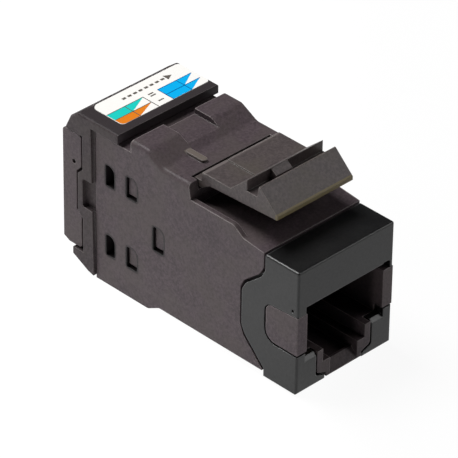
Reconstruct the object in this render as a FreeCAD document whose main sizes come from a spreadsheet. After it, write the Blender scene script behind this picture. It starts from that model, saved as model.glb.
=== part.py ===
import FreeCAD, Part
import math
import operator
import os

import Sketcher
from FreeCAD import Placement, Rotation, Vector

# Keystone jack, unshielded, with a press-on termination cap and a cable clamp.
# Each piece is drawn with Y from the front face towards the cable, X across the
# jack and Z up from the lowest face. Its placement then lowers it, so that the
# origin lies at the centre of the plug port on the front face.

SIZES = [
    # Widths and walls that the others follow
    ("port_width", 11.9, "cavity for the plug, across"),
    ("port_side", 1.5, "side of the cavity to the side face"),
    ("front_width", "=port_width + 2 * port_side", "front face, across"),
    ("body_width", "=front_width", "housing, across"),
    ("fit", 0.05, "clearance between seated pieces"),
    ("wall", 1.25, "side walls round the inner parts"),
    ("bezel_skin", 1.0, "thickness of the bezel's side walls"),
    # Front bezel
    ("front_top", 16.45, "top of the front face"),
    ("front_bottom", 0.35, "underside of the front face"),
    ("bezel_depth", 5.07, "front face to the rear rim of the bezel"),
    ("bezel_face", 1.2, "thickness of the front wall"),
    ("bezel_roof", 1.4, "thickness of the top wall"),
    ("bezel_round", 0.25, "rounding of the outer edges"),
    ("ear_reach", 8.6, "front face to the tip of the side ears"),
    ("ear_top", 11.3, "upper corner of the ear"),
    ("ear_root", 13.9, "where the ear leaves the rim"),
    ("ear_bottom", 4.45, "lower corner of the ear"),
    ("ear_foot", 1.35, "where the ear meets the rim again"),
    ("ear_shoulder", 0.55, "setback of the ear's corners from its tip"),
    ("ear_round", 1.1, "rounding of the ear's corners"),
    ("gap", 0.26, "shadow gap between the bezel and the housing"),
    ("eye_bottom", 5.3, "lower edge of the side window in the bezel"),
    ("eye_top", 10.3, "upper edge of that window at its rear"),
    ("eye_front", 10.62, "upper edge of that window at the front face"),
    ("eye_depth", 5.12, "front face to the rear of that window"),
    ("eye_low_round", 1.7, "its lower rear rounding"),
    ("eye_high_round", 1.2, "its upper rear rounding"),
    ("block_top", 4.6, "top of the bezel's lower blocks"),
    ("block_inside", 4.42, "centre line to the inner side of a block"),
    ("foot_top", 1.45, "top of the foot below the housing's lip"),
    ("foot_inside", 3.0, "centre line to the inner end of a foot"),
    ("foot_slope", 0.5, "drop of the foot's top towards the centre"),
    ("block_edge", 0.45, "bevel on the front edge of a block"),
    ("relief_width", 0.85, "small relief beside the port's top corner"),
    ("relief_drop", 1.3, "relief's lower edge below the port's roof"),
    ("relief_rise", 0.13, "relief's upper edge above the port's roof"),
    ("spot_radius", 0.2, "small round mark on the bezel's side"),
    ("spot_place", 0.82, "that mark, from the front face"),
    ("spot_height", 11.23, "that mark, above the lowest face"),
    # Plug port
    ("port_roof", 11.5, "roof of the cavity"),
    ("port_floor", 4.6, "floor of the cavity"),
    ("port_depth", 13.6, "front face to the rear wall of the cavity"),
    ("mouth_margin", 0.2, "widening of the port at the front face, each side"),
    ("mouth_width", "=port_width + 2 * mouth_margin", "port at the front face, across"),
    ("latch_wide", 6.6, "wide step for the plug's latch"),
    ("latch_wide_floor", 2.9, "floor of the wide step"),
    ("latch_narrow", 4.3, "narrow step for the plug's latch"),
    ("latch_narrow_floor", 1.4, "floor of the narrow step"),
    ("lip_front", 0.75, "front edge of the latch ramp"),
    ("lip_top", 1.85, "crest of the latch ramp"),
    ("lip_depth", 0.9, "front face to the crest of the ramp"),
    ("lip_crest", 0.35, "depth of the crest"),
    # Housing
    ("body_length", 32.0, "front face to the rear rim of the housing"),
    ("body_round", 0.55, "rounding along the upper edges"),
    ("belly_height", 0.95, "underside of the housing behind the bezel"),
    ("belly_end", 21.7, "where the underside starts to step down"),
    ("heel_start", 23.5, "where the underside is lowest"),
    ("belly_round", 0.8, "rounding of that step"),
    ("deck_front", 16.6, "top of the housing behind the bezel"),
    ("deck_height", 16.93, "top of the deck at its rear"),
    ("deck_end", 8.5, "where the side rails start to rise"),
    ("rail_start", 10.0, "where the side rails are level"),
    ("rail_height", 17.95, "top of the side rails"),
    ("rail_thickness", 0.65, "thickness of the side rails"),
    ("rail_round", 0.9, "rounding of the rails' rise"),
    ("saddle_start", 17.1, "front of the saddle behind the latch"),
    ("saddle_lean", 0.35, "lean of the saddle's front"),
    ("saddle_height", 19.85, "top of the saddle"),
    ("saddle_rise", 0.6, "rise of the floor between the shoulders"),
    ("slope_start", 21.2, "foot of the shoulders' slope"),
    ("slope_end", 23.7, "top of the shoulders' slope"),
    ("slope_round", 1.2, "rounding of that slope"),
    ("shoulder_height", 21.15, "top of the two shoulders"),
    ("shoulder_end", 26.3, "rear of the shoulders"),
    ("shoulder_inside", 2.4, "centre line to a shoulder's inner side"),
    ("rear_height", 19.7, "top of the housing under the cap"),
    ("nose_width", "=front_width - 2 * bezel_skin - 4 * fit", "part inside the bezel, across"),
    ("nose_floor", 0.75, "floor of the port below the plug"),
    ("nose_roof", 0.1, "clearance below the bezel's roof"),
    ("inner_floor", 1.9, "floor of the rear bay"),
    ("inner_roof", 18.5, "roof of the rear bay"),
    ("bay_round", 0.5, "rounding in the bay's corners"),
    ("board_face", 17.05, "front face to the seat of the circuit board"),
    ("comb_start", 5.5, "front end of the bay for the contact carrier"),
    ("comb_roof", 15.5, "roof of that bay"),
    ("tooth_start", 9.75, "front of the fixed hook below the housing"),
    ("tooth_length", 1.1, "level part of the hook"),
    ("tooth_slope", 1.5, "slope behind it"),
    ("tooth_bottom", 0.05, "underside of the hook"),
    ("tooth_margin", 2.45, "side face to the end of the hook"),
    ("tooth_width", "=body_width - 2 * tooth_margin", "hook, across"),
    ("rib_length", 2.9, "small rib on the saddle"),
    ("rib_width", 0.85, "width of that rib"),
    ("rib_rise", 0.35, "height of that rib"),
    ("rib_front", 18.9, "front end of that rib"),
    ("rib_side", 3.0, "centre line to that rib"),
    # Windows in the housing's sides
    ("window_round", 0.9, "upper front corner of each window"),
    ("window_corner", 0.2, "its other corners"),
    ("high_window", 13.43, "lower edge of the upper windows"),
    ("low_window", 4.02, "lower edge of the lower windows"),
    ("window_rise", 2.73, "height of those windows"),
    ("snap_window", 28.95, "front edge of the rear windows"),
    ("snap_window_length", 1.4, "length of the rear windows"),
    ("lug_window", 25.3, "front edge of the windows with lugs"),
    ("lug_window_length", 1.68, "length of the windows with lugs"),
    ("mid_window", 21.0, "front edge of the middle window"),
    ("mid_window_low", 8.42, "lower edge of the middle window"),
    ("mid_window_rise", 3.14, "height of the middle window"),
    ("lug_margin", 0.12, "clearance round a lug in its window"),
    ("lug_sill", 0.35, "clearance below a lug"),
    ("lug_recess", 0.3, "lug's face behind the housing's side"),
    # Release latch
    ("latch_margin", 1.6, "side face to the latch's side"),
    ("latch_width", "=body_width - 2 * latch_margin", "latch, across"),
    ("latch_tip", 5.0, "front face to the tip of the latch"),
    ("latch_tip_top", 20.68, "top of the blunt tip"),
    ("latch_tip_bottom", 20.2, "underside of the tip"),
    ("latch_rear", 16.65, "rear edge of the plate"),
    ("latch_rear_bottom", 19.68, "underside near the rear"),
    ("latch_neck_start", 15.4, "where the underside turns down to the root"),
    ("latch_plate", 21.1, "top of the plate"),
    ("latch_round", 0.4, "rounding of the plate's rear edge"),
    ("latch_ramp", 12.1, "foot of the rear ramp"),
    ("latch_peak", 23.2, "top of the two ramps"),
    ("slot_rear", 9.67, "rear side of the panel slot"),
    ("slot_front", 8.1, "front side of the panel slot"),
    ("slot_floor", 21.8, "floor of the panel slot"),
    ("slot_lean", 0.25, "lean of the slot's front side"),
    ("peak_width", 0.15, "flat on the front ramp"),
    ("nib_left", 2.2, "slot nib, to the left of the centre line"),
    ("nib_right", 0.3, "slot nib, to the right of the centre line"),
    ("nib_depth", 0.82, "slot nib, along the jack"),
    ("nib_drop", 0.7, "drop of the nib's top"),
    ("plate_step", 0.14, "step on the left of the plate"),
    ("root_y", 17.6, "root of the latch, from the front face"),
    ("root_z", 19.35, "root of the latch, above the lowest face"),
    ("root_radius", 0.45, "radius of the root"),
    ("root_fit", 0.06, "clearance round the root"),
    ("seat_drop", 0.65, "drop of the seat's floor in front of the root"),
    # Contacts
    ("contact_pitch", 1.016, "spacing of the contact wires"),
    ("wire_width", 0.46, "contact wire, across"),
    ("wire_thickness", 0.3, "contact wire, thickness"),
    ("wire_bend", 0.8, "bend of the contact wire"),
    ("wire_tail", 17.95, "rear end of the wires, in the board"),
    ("wire_high", 13.4, "height of the wires at the board"),
    ("wire_knee", 16.2, "where the wires turn down"),
    ("wire_nose", 7.55, "lowest point of the wires, from the front"),
    ("wire_low", 10.5, "height of that point"),
    ("wire_hook", 6.75, "free end of the wires, from the front"),
    ("wire_hook_high", 12.2, "height of the free end"),
    ("wire_hole", 0.37, "half width of the board's holes for the wires"),
    ("slot_width", 0.64, "slot for one wire"),
    ("slot_roof", 14.3, "roof of the slots"),
    ("carrier_front_wall", 0.75, "closed front of the contact carrier"),
    # Circuit board, terminal block and terminals
    ("board_thickness", 1.2, "circuit board"),
    ("board_margin", 0.2, "board's edge to the bay's wall"),
    ("terminal_hole", 0.45, "half width of the board's holes for the terminals"),
    ("block_start", 18.45, "front of the terminal block"),
    ("block_end", 27.0, "rear of the terminal block"),
    ("block_margin", 0.25, "block's sides to the bay's walls"),
    ("terminal_row_high", 14.8, "upper row of terminals"),
    ("terminal_row_low", 5.4, "lower row of terminals"),
    ("terminal_edge", 1.9, "bay's wall to the outer terminals"),
    ("terminal_step", 2.8, "outer to inner terminals"),
    ("terminal_far", "=body_width / 2 - wall - terminal_edge", "centre line to the outer terminals"),
    ("terminal_near", "=terminal_far - terminal_step", "centre line to the inner terminals"),
    ("terminal_thickness", 0.5, "terminal, across"),
    ("terminal_height", 2.4, "terminal, top to bottom"),
    ("terminal_end", 30.6, "rear end of the terminals"),
    ("terminal_shoulder", 18.6, "front of the wide part"),
    ("terminal_tail", 17.2, "front end of the tail, in the board"),
    ("terminal_tail_height", 0.6, "tail, top to bottom"),
    ("fork_gap", 0.34, "slot that grips the conductor"),
    ("fork_mouth", 1.3, "mouth of that slot"),
    ("fork_mouth_depth", 0.8, "depth of the mouth"),
    ("fork_depth", 3.2, "depth of the slot"),
    ("terminal_fit", 0.12, "clearance round a terminal"),
    # Wire guide and termination cap
    ("guide_start", 27.4, "front of the wire guide"),
    ("guide_bore", 3.05, "radius of the guide's hole for the cable core"),
    ("groove_half", 0.55, "half width of the grooves for the conductors"),
    ("cap_margin", 0.385, "cap's side beyond the housing's"),
    ("cap_width", "=body_width + 2 * cap_margin", "cap, across"),
    ("cap_front", 28.04, "front edge of the cap's top plate"),
    ("cap_underside", 20.05, "underside of the top plate"),
    ("cap_top", 21.22, "top of the plate"),
    ("cap_seat", 32.1, "front of the cap behind the housing"),
    ("cap_lean", 32.45, "upper end of the side skins' leaning front edge"),
    ("cap_sole_end", 33.0, "rear end of the flat underside"),
    ("cap_crest", 34.6, "rear edge of the top plate"),
    ("cap_brow", 35.8, "foot of the slope behind it"),
    ("cap_brow_height", 20.3, "height of that foot"),
    ("cap_tail", 36.55, "rearmost edge above the clamp"),
    ("cap_tail_height", 18.75, "height of that edge"),
    ("cap_sole", 0.35, "underside of the cap at the housing"),
    ("cap_sole_rise", 0.25, "rise of that underside to its rear end"),
    ("cap_heel", 35.5, "rear of the cap below the clamp"),
    ("cap_heel_height", 1.85, "corner of the cap's lower rear bevel"),
    ("frame_rear", 33.78, "front of the recess for the clamp"),
    ("notch_low", 9.0, "lower edge of the notch in the cap's sides"),
    ("notch_high", 12.8, "upper edge of that notch"),
    ("notch_end", 33.85, "rear edge of that notch"),
    ("notch_depth", 0.7, "depth of that notch"),
    ("grip_pitch", 3.0, "spacing of the grip scallops"),
    ("grip_radius", 0.9, "radius of a grip scallop"),
    ("cap_round", 0.3, "rounding of the cap's upper side edges"),
    ("cap_crest_round", 0.5, "rounding of the crest"),
    ("cap_brow_round", 0.6, "rounding of the brow"),
    ("notch_round", 0.4, "rounding of the notch"),
    ("grip_place", 35.35, "centres of the grip scallops, from the front face"),
    ("grip_shift", 0.2, "offset of the row of scallops across the cap"),
    ("grip_floor", 20.55, "floor of the grip scallops"),
    ("cable_height", 10.1, "centre of the cable entry"),
    ("cap_bore", 3.6, "radius of the cable hole in the cap"),
    # Cable clamp
    ("clamp_gap", 0.5, "gap between the recess and the clamp"),
    ("clamp_rear", 37.25, "rear face of the clamp"),
    ("clamp_top", 18.15, "top of the clamp"),
    ("clamp_bottom", 3.0, "underside of the clamp"),
    ("clamp_step_high", 13.2, "upper corner of the step in its sides"),
    ("clamp_step_low", 8.1, "lower corner of that step"),
    ("clamp_step", 0.77, "depth of that step"),
    ("clamp_slope", 0.75, "height of the slopes at that step"),
    ("clamp_margin", 0.15, "clamp's side beyond the housing's"),
    ("clamp_width", "=body_width + 2 * clamp_margin", "clamp, across"),
    ("clamp_round", 0.4, "rounding of the clamp's corners"),
    ("clamp_bevel", 0.9, "bevel below the clamp's rear face"),
    ("cable_bore", 3.3, "radius of the cable entry"),
    ("tooth_ring", 0.35, "rise of the gripping ring in the entry"),
    ("tooth_ring_depth", 0.8, "length of the gripping ring"),
    ("pit_radius", 0.3, "small round mark on the clamp's side"),
    ("pit_place", 1.8, "that mark, in front of the rear face"),
    # Label
    ("label_left_margin", 1.885, "cap's left side to the label"),
    ("label_right_margin", 0.165, "cap's right side to the label"),
    ("label_left", "=cap_width / 2 - label_left_margin", "centre line to the label's left edge"),
    ("label_right", "=cap_width / 2 - label_right_margin", "centre line to the label's right edge"),
    ("label_front", 29.2, "front edge of the label"),
    ("label_rear", 34.4, "rear edge of the label"),
    ("label_thickness", 0.12, "label"),
    ("label_recess", 0.1, "recess for the label"),
    ("label_round", 0.5, "rounding of the label's corners"),
]

CONTACTS = 8
WAYS = 8
GRIPS = 5
SLACK = 2.0
TOUCH = 1e-4
WINDOWS = [
    ("snap_window", "high_window", "snap_window_length", "window_rise"),
    ("snap_window", "low_window", "snap_window_length", "window_rise"),
    ("lug_window", "high_window", "lug_window_length", "window_rise"),
    ("lug_window", "low_window", "lug_window_length", "window_rise"),
    ("mid_window", "mid_window_low", "lug_window_length", "mid_window_rise"),
]
OPERATIONS = {"+": operator.add, "-": operator.sub, "*": operator.mul, "/": operator.truediv}


class Size:
    """A length that carries its value and the expression that gives it."""

    def __init__(self, value, text):
        self.value = value
        self.text = text

    def __add__(self, other):
        return combine(self, "+", other)

    def __radd__(self, other):
        return combine(other, "+", self)

    def __sub__(self, other):
        return combine(self, "-", other)

    def __rsub__(self, other):
        return combine(other, "-", self)

    def __mul__(self, other):
        return combine(self, "*", other)

    def __rmul__(self, other):
        return combine(other, "*", self)

    def __truediv__(self, other):
        return combine(self, "/", other)

    def __neg__(self):
        return combine(-1, "*", self)


def value_of(size):
    return size.value if isinstance(size, Size) else float(size)


def text_of(size):
    return size.text if isinstance(size, Size) else repr(size)


def combine(left, sign, right):
    result = OPERATIONS[sign](value_of(left), value_of(right))
    return Size(result, f"({text_of(left)} {sign} {text_of(right)})")


def bind(item, path, size):
    """Gives a property its size, tied to the sheet where the size has a name."""
    if isinstance(size, Size):
        item.setExpression(path, size.text)
    else:
        setattr(item, path, float(size))


def write_sheet(doc):
    """Fills the sheet of driving dimensions and returns them by name."""
    sheet = doc.addObject("Spreadsheet::Sheet", "Sizes")
    for row, (name, value, note) in enumerate(SIZES, start=1):
        sheet.set(f"A{row}", note)
        sheet.set(f"B{row}", str(value))
        sheet.setAlias(f"B{row}", name)
    doc.recompute()
    return {name: Size(float(sheet.get(name)), f"Sizes.{name}") for name, value, note in SIZES}


doc = FreeCAD.newDocument("KeystoneJack")
size = write_sheet(doc)


def new_body(label):
    """A body whose placement puts the origin at the port's centre."""
    body = doc.addObject("PartDesign::Body", label)
    body.Label = label
    bind(body, "Placement.Base.z", (size["port_floor"] + size["port_roof"]) / -2)
    return body


def plane_of(body, name):
    for feature in body.Origin.OriginFeatures:
        if feature.Role == name:
            return feature
    raise ValueError(name)


def sketch_on(body, plane, depth=None):
    """A sketch on one of the body's planes, moved along that plane's normal."""
    sketch = body.newObject("Sketcher::SketchObject", "Sketch")
    sketch.AttachmentSupport = [(plane_of(body, plane), "")]
    sketch.MapMode = "FlatFace"
    if depth is not None:
        bind(sketch, "AttachmentOffset.Base.z", depth)
    return sketch


def side_view(body, depth=None):
    """Sketch with Y across and Z up, moved along X."""
    return sketch_on(body, "YZ_Plane", depth)


def front_view(body, distance=None):
    """Sketch with X across and Z up, moved back from the front face."""
    return sketch_on(body, "XZ_Plane", None if distance is None else -distance)


def top_view(body, height=None):
    """Sketch with X across and Y up, moved up."""
    return sketch_on(body, "XY_Plane", height)


def hold(sketch, kind, *where):
    """Adds one constraint, tied to the sheet where its size has a name."""
    size_given = where[-1]
    index = sketch.addConstraint(Sketcher.Constraint(kind, *where[:-1], value_of(size_given)))
    if isinstance(size_given, Size):
        sketch.setExpression(f"Constraints[{index}]", size_given.text)


def place_point(sketch, geometry, position, corner):
    hold(sketch, "DistanceX", -1, 1, geometry, position, corner[0])
    hold(sketch, "DistanceY", -1, 1, geometry, position, corner[1])


def bend_at(before, corner, after, radius):
    """Start, end, centre and direction of the arc that rounds a corner."""
    way_in = (corner - before).normalize()
    way_out = (after - corner).normalize()
    turn = way_in.cross(way_out).z
    angle = way_in.getAngle(way_out)
    reach = radius * math.tan(angle / 2)
    start = corner - way_in * reach
    end = corner + way_out * reach
    side = Vector(-way_in.y, way_in.x, 0) * math.copysign(radius, turn)
    return start, end, start + side, turn > 0


def arc_through(start, end, centre, radius, left):
    first, last = (start, end) if left else (end, start)
    angles = [math.atan2(point.y - centre.y, point.x - centre.x) for point in (first, last)]
    circle = Part.Circle(centre, Vector(0, 0, 1), radius)
    return Part.ArcOfCircle(circle, angles[0], angles[1])


def outline(sketch, corners, closed=True):
    """Draws lines through the corners, each (across, up) or (across, up, radius)."""
    count = len(corners)
    points = [Vector(value_of(corner[0]), value_of(corner[1]), 0) for corner in corners]
    bends = {}
    for index, corner in enumerate(corners):
        if len(corner) == 3:
            before, after = points[index - 1], points[(index + 1) % count]
            bends[index] = bend_at(before, points[index], after, value_of(corner[2]))
    lines = []
    for index in range(count if closed else count - 1):
        following = (index + 1) % count
        start = bends[index][1] if index in bends else points[index]
        end = bends[following][0] if following in bends else points[following]
        lines.append(sketch.addGeometry(Part.LineSegment(start, end), False))
    for index, corner in enumerate(corners):
        if index in bends:
            join_with_arc(sketch, lines[index - 1], lines[index], bends[index], corner)
        elif closed or 0 < index < count - 1:
            sketch.addConstraint(Sketcher.Constraint("Coincident", lines[index - 1], 2, lines[index], 1))
            place_point(sketch, lines[index], 1, corner)
        elif index == 0:
            place_point(sketch, lines[0], 1, corner)
        else:
            place_point(sketch, lines[-1], 2, corner)


def join_with_arc(sketch, line_in, line_out, bend, corner):
    """Rounds one corner, whose sharp point stays in the sketch as a mark."""
    start, end, centre, left = bend
    arc = sketch.addGeometry(arc_through(start, end, centre, value_of(corner[2]), left), False)
    mark = sketch.addGeometry(Part.Point(start + (end - start) / 2), True)
    entry, leave = (1, 2) if left else (2, 1)
    sketch.addConstraint([
        Sketcher.Constraint("Tangent", line_in, 2, arc, entry),
        Sketcher.Constraint("Tangent", arc, leave, line_out, 1),
        Sketcher.Constraint("PointOnObject", mark, 1, line_in),
        Sketcher.Constraint("PointOnObject", mark, 1, line_out),
    ])
    hold(sketch, "Radius", arc, corner[2])
    place_point(sketch, mark, 1, corner)


def ring(sketch, across, up, radius):
    """Draws a circle."""
    centre = Vector(value_of(across), value_of(up), 0)
    circle = sketch.addGeometry(Part.Circle(centre, Vector(0, 0, 1), value_of(radius)), False)
    place_point(sketch, circle, 3, (across, up))
    hold(sketch, "Radius", circle, radius)


def rectangle(left, bottom, right, top, radius=None):
    corners = [(left, bottom), (right, bottom), (right, top), (left, top)]
    return corners if radius is None else [(*corner, radius) for corner in corners]


def feature(body, kind, sketch, length, both, back):
    item = body.newObject(kind, kind.split("::")[1])
    item.Profile = sketch
    bind(item, "Length", length)
    item.SideType = "Symmetric" if both else "One side"
    item.Reversed = back
    doc.recompute()
    return item


def pad(body, sketch, length, both=False, back=False):
    before = body.Shape.Volume if body.Tip else 0.0
    item = feature(body, "PartDesign::Pad", sketch, length, both, back)
    check_change(item, before, 1)
    return item


def pocket(body, sketch, length, both=False, back=False):
    before = body.Shape.Volume
    item = feature(body, "PartDesign::Pocket", sketch, length, both, back)
    check_change(item, before, -1)
    return item


def check_change(item, before, direction):
    """Stops the build where a feature adds or cuts nothing."""
    change = (item.Shape.Volume - before) * direction
    if change <= 0:
        raise RuntimeError(f"{item.Label} changes nothing")


def mirror(body, *items):
    """Repeats features on the other side of the centre plane."""
    item = body.newObject("PartDesign::Mirrored", "Mirrored")
    item.Originals = list(items)
    item.MirrorPlane = (plane_of(body, "YZ_Plane"), [""])
    body.Tip = item
    doc.recompute()
    return item


def repeat_across(body, item, length, count):
    pattern = body.newObject("PartDesign::LinearPattern", "LinearPattern")
    pattern.Originals = [item]
    pattern.Direction = (plane_of(body, "X_Axis"), [""])
    bind(pattern, "Length", length)
    pattern.Occurrences = count
    body.Tip = pattern
    doc.recompute()
    return pattern


def edges_where(shape, test):
    """Names of the straight or curved edges whose two ends pass the test."""
    names = []
    for index, edge in enumerate(shape.Edges, start=1):
        ends = [vertex.Point for vertex in edge.Vertexes]
        if len(ends) == 2 and test(*ends):
            names.append(f"Edge{index}")
    return names


def near(a, b):
    return abs(a - value_of(b)) < TOUCH


def on_sides(half):
    """Test for edges that run along either side face."""
    return lambda a, b: near(a.x, b.x) and near(abs(a.x), half)


def front_edges(distance):
    return lambda a, b: near(a.y, distance) and near(b.y, distance)


def level_with(height):
    return lambda a, b: near(a.z, height) and near(b.z, height)


def dress(body, kind, names, amount):
    base = body.Tip
    item = body.newObject(kind, kind.split("::")[1])
    item.Base = (base, names)
    bind(item, "Radius" if kind.endswith("Fillet") else "Size", amount)
    body.Tip = item
    doc.recompute()
    return item


def round_edges(body, test, radius):
    return dress(body, "PartDesign::Fillet", edges_where(body.Tip.Shape, test), radius)


def bevel_edges(body, test, amount):
    return dress(body, "PartDesign::Chamfer", edges_where(body.Tip.Shape, test), amount)


def ear_outline(grow):
    """Side outline of the bezel's ear behind its rim, grown by a gap."""
    rim = size["bezel_depth"] + grow
    tip = size["ear_reach"] + grow
    return [
        (rim, size["ear_foot"] - grow),
        (tip - size["ear_shoulder"], size["ear_bottom"] - grow, size["ear_round"]),
        (tip, size["ear_bottom"] + size["ear_shoulder"] * 2, size["ear_round"]),
        (tip, size["ear_top"] - size["ear_shoulder"] * 2 + grow, size["ear_round"]),
        (tip - size["ear_shoulder"], size["ear_top"] + grow, size["ear_round"]),
        (rim + size["ear_shoulder"], size["ear_root"] - size["ear_shoulder"] + grow, size["ear_round"]),
        (rim, size["ear_root"] + size["ear_shoulder"] + grow),
    ]


def make_bezel():
    """Front bezel: a frame round the port, with ears that clasp the housing."""
    body = new_body("front_bezel")
    rim = side_view(body)
    outline(rim, [
        (0, size["front_bottom"]),
        (size["bezel_depth"], size["front_bottom"]),
        *ear_outline(0),
        (size["bezel_depth"], size["front_top"]),
        (0, size["front_top"]),
    ])
    pad(body, rim, size["front_width"], both=True)
    half = size["front_width"] / 2
    front = front_edges(0)
    top = level_with(size["front_top"])
    sides = on_sides(half)
    round_edges(body, lambda a, b: front(a, b) or (sides(a, b) and top(a, b)), size["bezel_round"])

    hollow_low = size["port_floor"] - size["nose_floor"]
    hollow_high = size["front_top"] - size["bezel_roof"]
    hollow = side_view(body)
    outline(hollow, [
        (size["bezel_face"], hollow_low),
        (size["bezel_depth"], hollow_low),
        (size["bezel_depth"], size["front_bottom"] - SLACK),
        (size["ear_reach"] + SLACK, size["front_bottom"] - SLACK),
        (size["ear_reach"] + SLACK, hollow_high),
        (size["bezel_face"], hollow_high),
    ])
    pocket(body, hollow, size["front_width"] - size["bezel_skin"] * 2, both=True)

    mouth_half = size["mouth_width"] / 2
    mouth = front_view(body)
    outline(mouth, [
        (-mouth_half, size["port_roof"]),
        (-mouth_half, size["block_top"]),
        (-size["block_inside"], size["block_top"]),
        *foot_outline(0),
        (size["block_inside"], size["block_top"]),
        (mouth_half, size["block_top"]),
        (mouth_half, size["port_roof"]),
    ])
    pocket(body, mouth, size["ear_reach"] + SLACK)

    relief = front_view(body)
    relief_low = size["port_roof"] - size["relief_drop"]
    relief_side = mouth_half + size["relief_width"]
    outline(relief, [
        (mouth_half - size["gap"], relief_low),
        (relief_side, relief_low),
        (relief_side, size["port_roof"] + size["relief_rise"], size["relief_width"] / 2),
        (mouth_half - size["gap"], size["port_roof"] + size["relief_rise"]),
    ])
    pocket(body, relief, size["bezel_face"])

    eye = side_view(body, mouth_half - size["fit"])
    outline(eye, [
        (-SLACK, size["eye_bottom"]),
        (size["eye_depth"], size["eye_bottom"], size["eye_low_round"]),
        (size["eye_depth"], size["eye_top"], size["eye_high_round"]),
        (0, size["eye_front"]),
        (-SLACK, size["eye_front"]),
    ])
    mirror(body, pocket(body, eye, SLACK * 2, back=True))
    spot = side_view(body, half - size["spot_radius"])
    ring(spot, size["spot_place"], size["spot_height"], size["spot_radius"])
    mirror(body, pocket(body, spot, SLACK, back=True))
    block = level_with(size["block_top"])
    bevel_edges(body, lambda a, b: front(a, b) and block(a, b), size["block_edge"])
    return body


def foot_outline(shrink):
    """Front outline below the port, between the bezel's feet and the lip."""
    block = size["block_inside"] - shrink
    foot = size["foot_inside"] - shrink
    top = size["foot_top"] + shrink
    low = size["front_bottom"] + shrink if shrink else size["front_bottom"] - SLACK
    return [
        (-block, top, size["foot_slope"]),
        (-foot, top - size["foot_slope"], size["foot_slope"] / 2),
        (-foot, low),
        (foot, low),
        (foot, top - size["foot_slope"], size["foot_slope"] / 2),
        (block, top, size["foot_slope"]),
    ]


def make_housing():
    """Housing: port, saddle, shoulders, side windows and the bays inside."""
    body = new_body("housing")
    half = size["body_width"] / 2
    shell_front = size["bezel_depth"] + size["gap"]
    saddle_front = size["saddle_start"] - size["saddle_lean"]
    shell = side_view(body)
    outline(shell, [
        (shell_front, size["belly_height"]),
        (size["belly_end"], size["belly_height"], size["belly_round"]),
        (size["heel_start"], 0, size["belly_round"]),
        (size["body_length"], 0),
        (size["body_length"], size["rear_height"]),
        (size["shoulder_end"], size["rear_height"]),
        (size["shoulder_end"], size["shoulder_height"]),
        (size["slope_end"], size["shoulder_height"], size["slope_round"]),
        (size["slope_start"], size["saddle_height"], size["slope_round"]),
        (size["saddle_start"], size["saddle_height"]),
        (saddle_front, size["rail_height"]),
        (size["rail_start"], size["rail_height"], size["rail_round"]),
        (size["deck_end"], size["deck_height"], size["rail_round"]),
        (shell_front, size["deck_front"]),
    ])
    pad(body, shell, size["body_width"], both=True)
    sides = on_sides(half)
    saddle = size["saddle_height"].value - TOUCH
    round_edges(body, lambda a, b: sides(a, b) and min(a.z, b.z) > saddle, size["body_round"])
    add_nose(body, half, shell_front)
    cut_ear_seat(body, half)
    cut_port(body)
    cut_bays(body, half)
    cut_windows(body, half)
    cut_top(body, saddle_front)
    add_hook(body)
    return body


def add_nose(body, half, shell_front):
    """The part inside the bezel, the columns in its windows and the lower lip."""
    nose = front_view(body, size["bezel_face"] + size["fit"])
    outline(nose, rectangle(-size["nose_width"] / 2, size["port_floor"] - size["nose_floor"] + size["fit"],
                            size["nose_width"] / 2, size["front_top"] - size["bezel_roof"] - size["nose_roof"]))
    pad(body, nose, shell_front - size["bezel_face"], back=True)
    column = side_view(body, size["port_width"] / 2)
    rear = size["eye_depth"] - size["gap"]
    outline(column, [
        (0, size["eye_bottom"] + size["gap"]),
        (rear, size["eye_bottom"] + size["gap"], size["eye_low_round"] - size["gap"]),
        (rear, size["eye_top"] - size["fit"], size["eye_high_round"] - size["gap"]),
        (0, size["eye_front"] - size["fit"]),
    ])
    mirror(body, pad(body, column, half - size["port_width"] / 2))
    lip = front_view(body)
    lip_half = size["block_inside"] - size["gap"]
    outline(lip, [(-lip_half, size["port_floor"]), *foot_outline(size["gap"]), (lip_half, size["port_floor"])])
    pad(body, lip, shell_front + size["fit"], back=True)


def cut_ear_seat(body, half):
    seat = side_view(body, half - size["bezel_skin"] - size["fit"])
    outline(seat, ear_outline(size["gap"]))
    mirror(body, pocket(body, seat, SLACK, back=True))


def cut_port(body):
    """Plug port with its stepped channel, and the ramp at the channel's mouth."""
    port_half = size["port_width"] / 2
    wide_half = size["latch_wide"] / 2
    narrow_half = size["latch_narrow"] / 2
    port = front_view(body)
    outline(port, [
        (-port_half, size["port_roof"]),
        (-port_half, size["port_floor"]),
        (-wide_half, size["port_floor"]),
        (-wide_half, size["latch_wide_floor"]),
        (-narrow_half, size["latch_wide_floor"]),
        (-narrow_half, size["latch_narrow_floor"]),
        (narrow_half, size["latch_narrow_floor"]),
        (narrow_half, size["latch_wide_floor"]),
        (wide_half, size["latch_wide_floor"]),
        (wide_half, size["port_floor"]),
        (port_half, size["port_floor"]),
        (port_half, size["port_roof"]),
    ])
    pocket(body, port, size["port_depth"])
    crest_end = size["lip_depth"] + size["lip_crest"]
    clear = side_view(body)
    outline(clear, [
        (-SLACK, size["lip_front"]),
        (0, size["lip_front"]),
        (size["lip_depth"], size["lip_top"]),
        (size["lip_depth"], size["latch_wide_floor"]),
        (-SLACK, size["latch_wide_floor"]),
    ])
    pocket(body, clear, size["latch_narrow"], both=True)
    ramp = side_view(body)
    lip_bottom = size["front_bottom"] + size["gap"]
    outline(ramp, [
        (0, lip_bottom),
        (crest_end, lip_bottom),
        (crest_end, size["lip_top"]),
        (size["lip_depth"], size["lip_top"]),
        (0, size["lip_front"]),
    ])
    pad(body, ramp, size["latch_narrow"], both=True)


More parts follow.
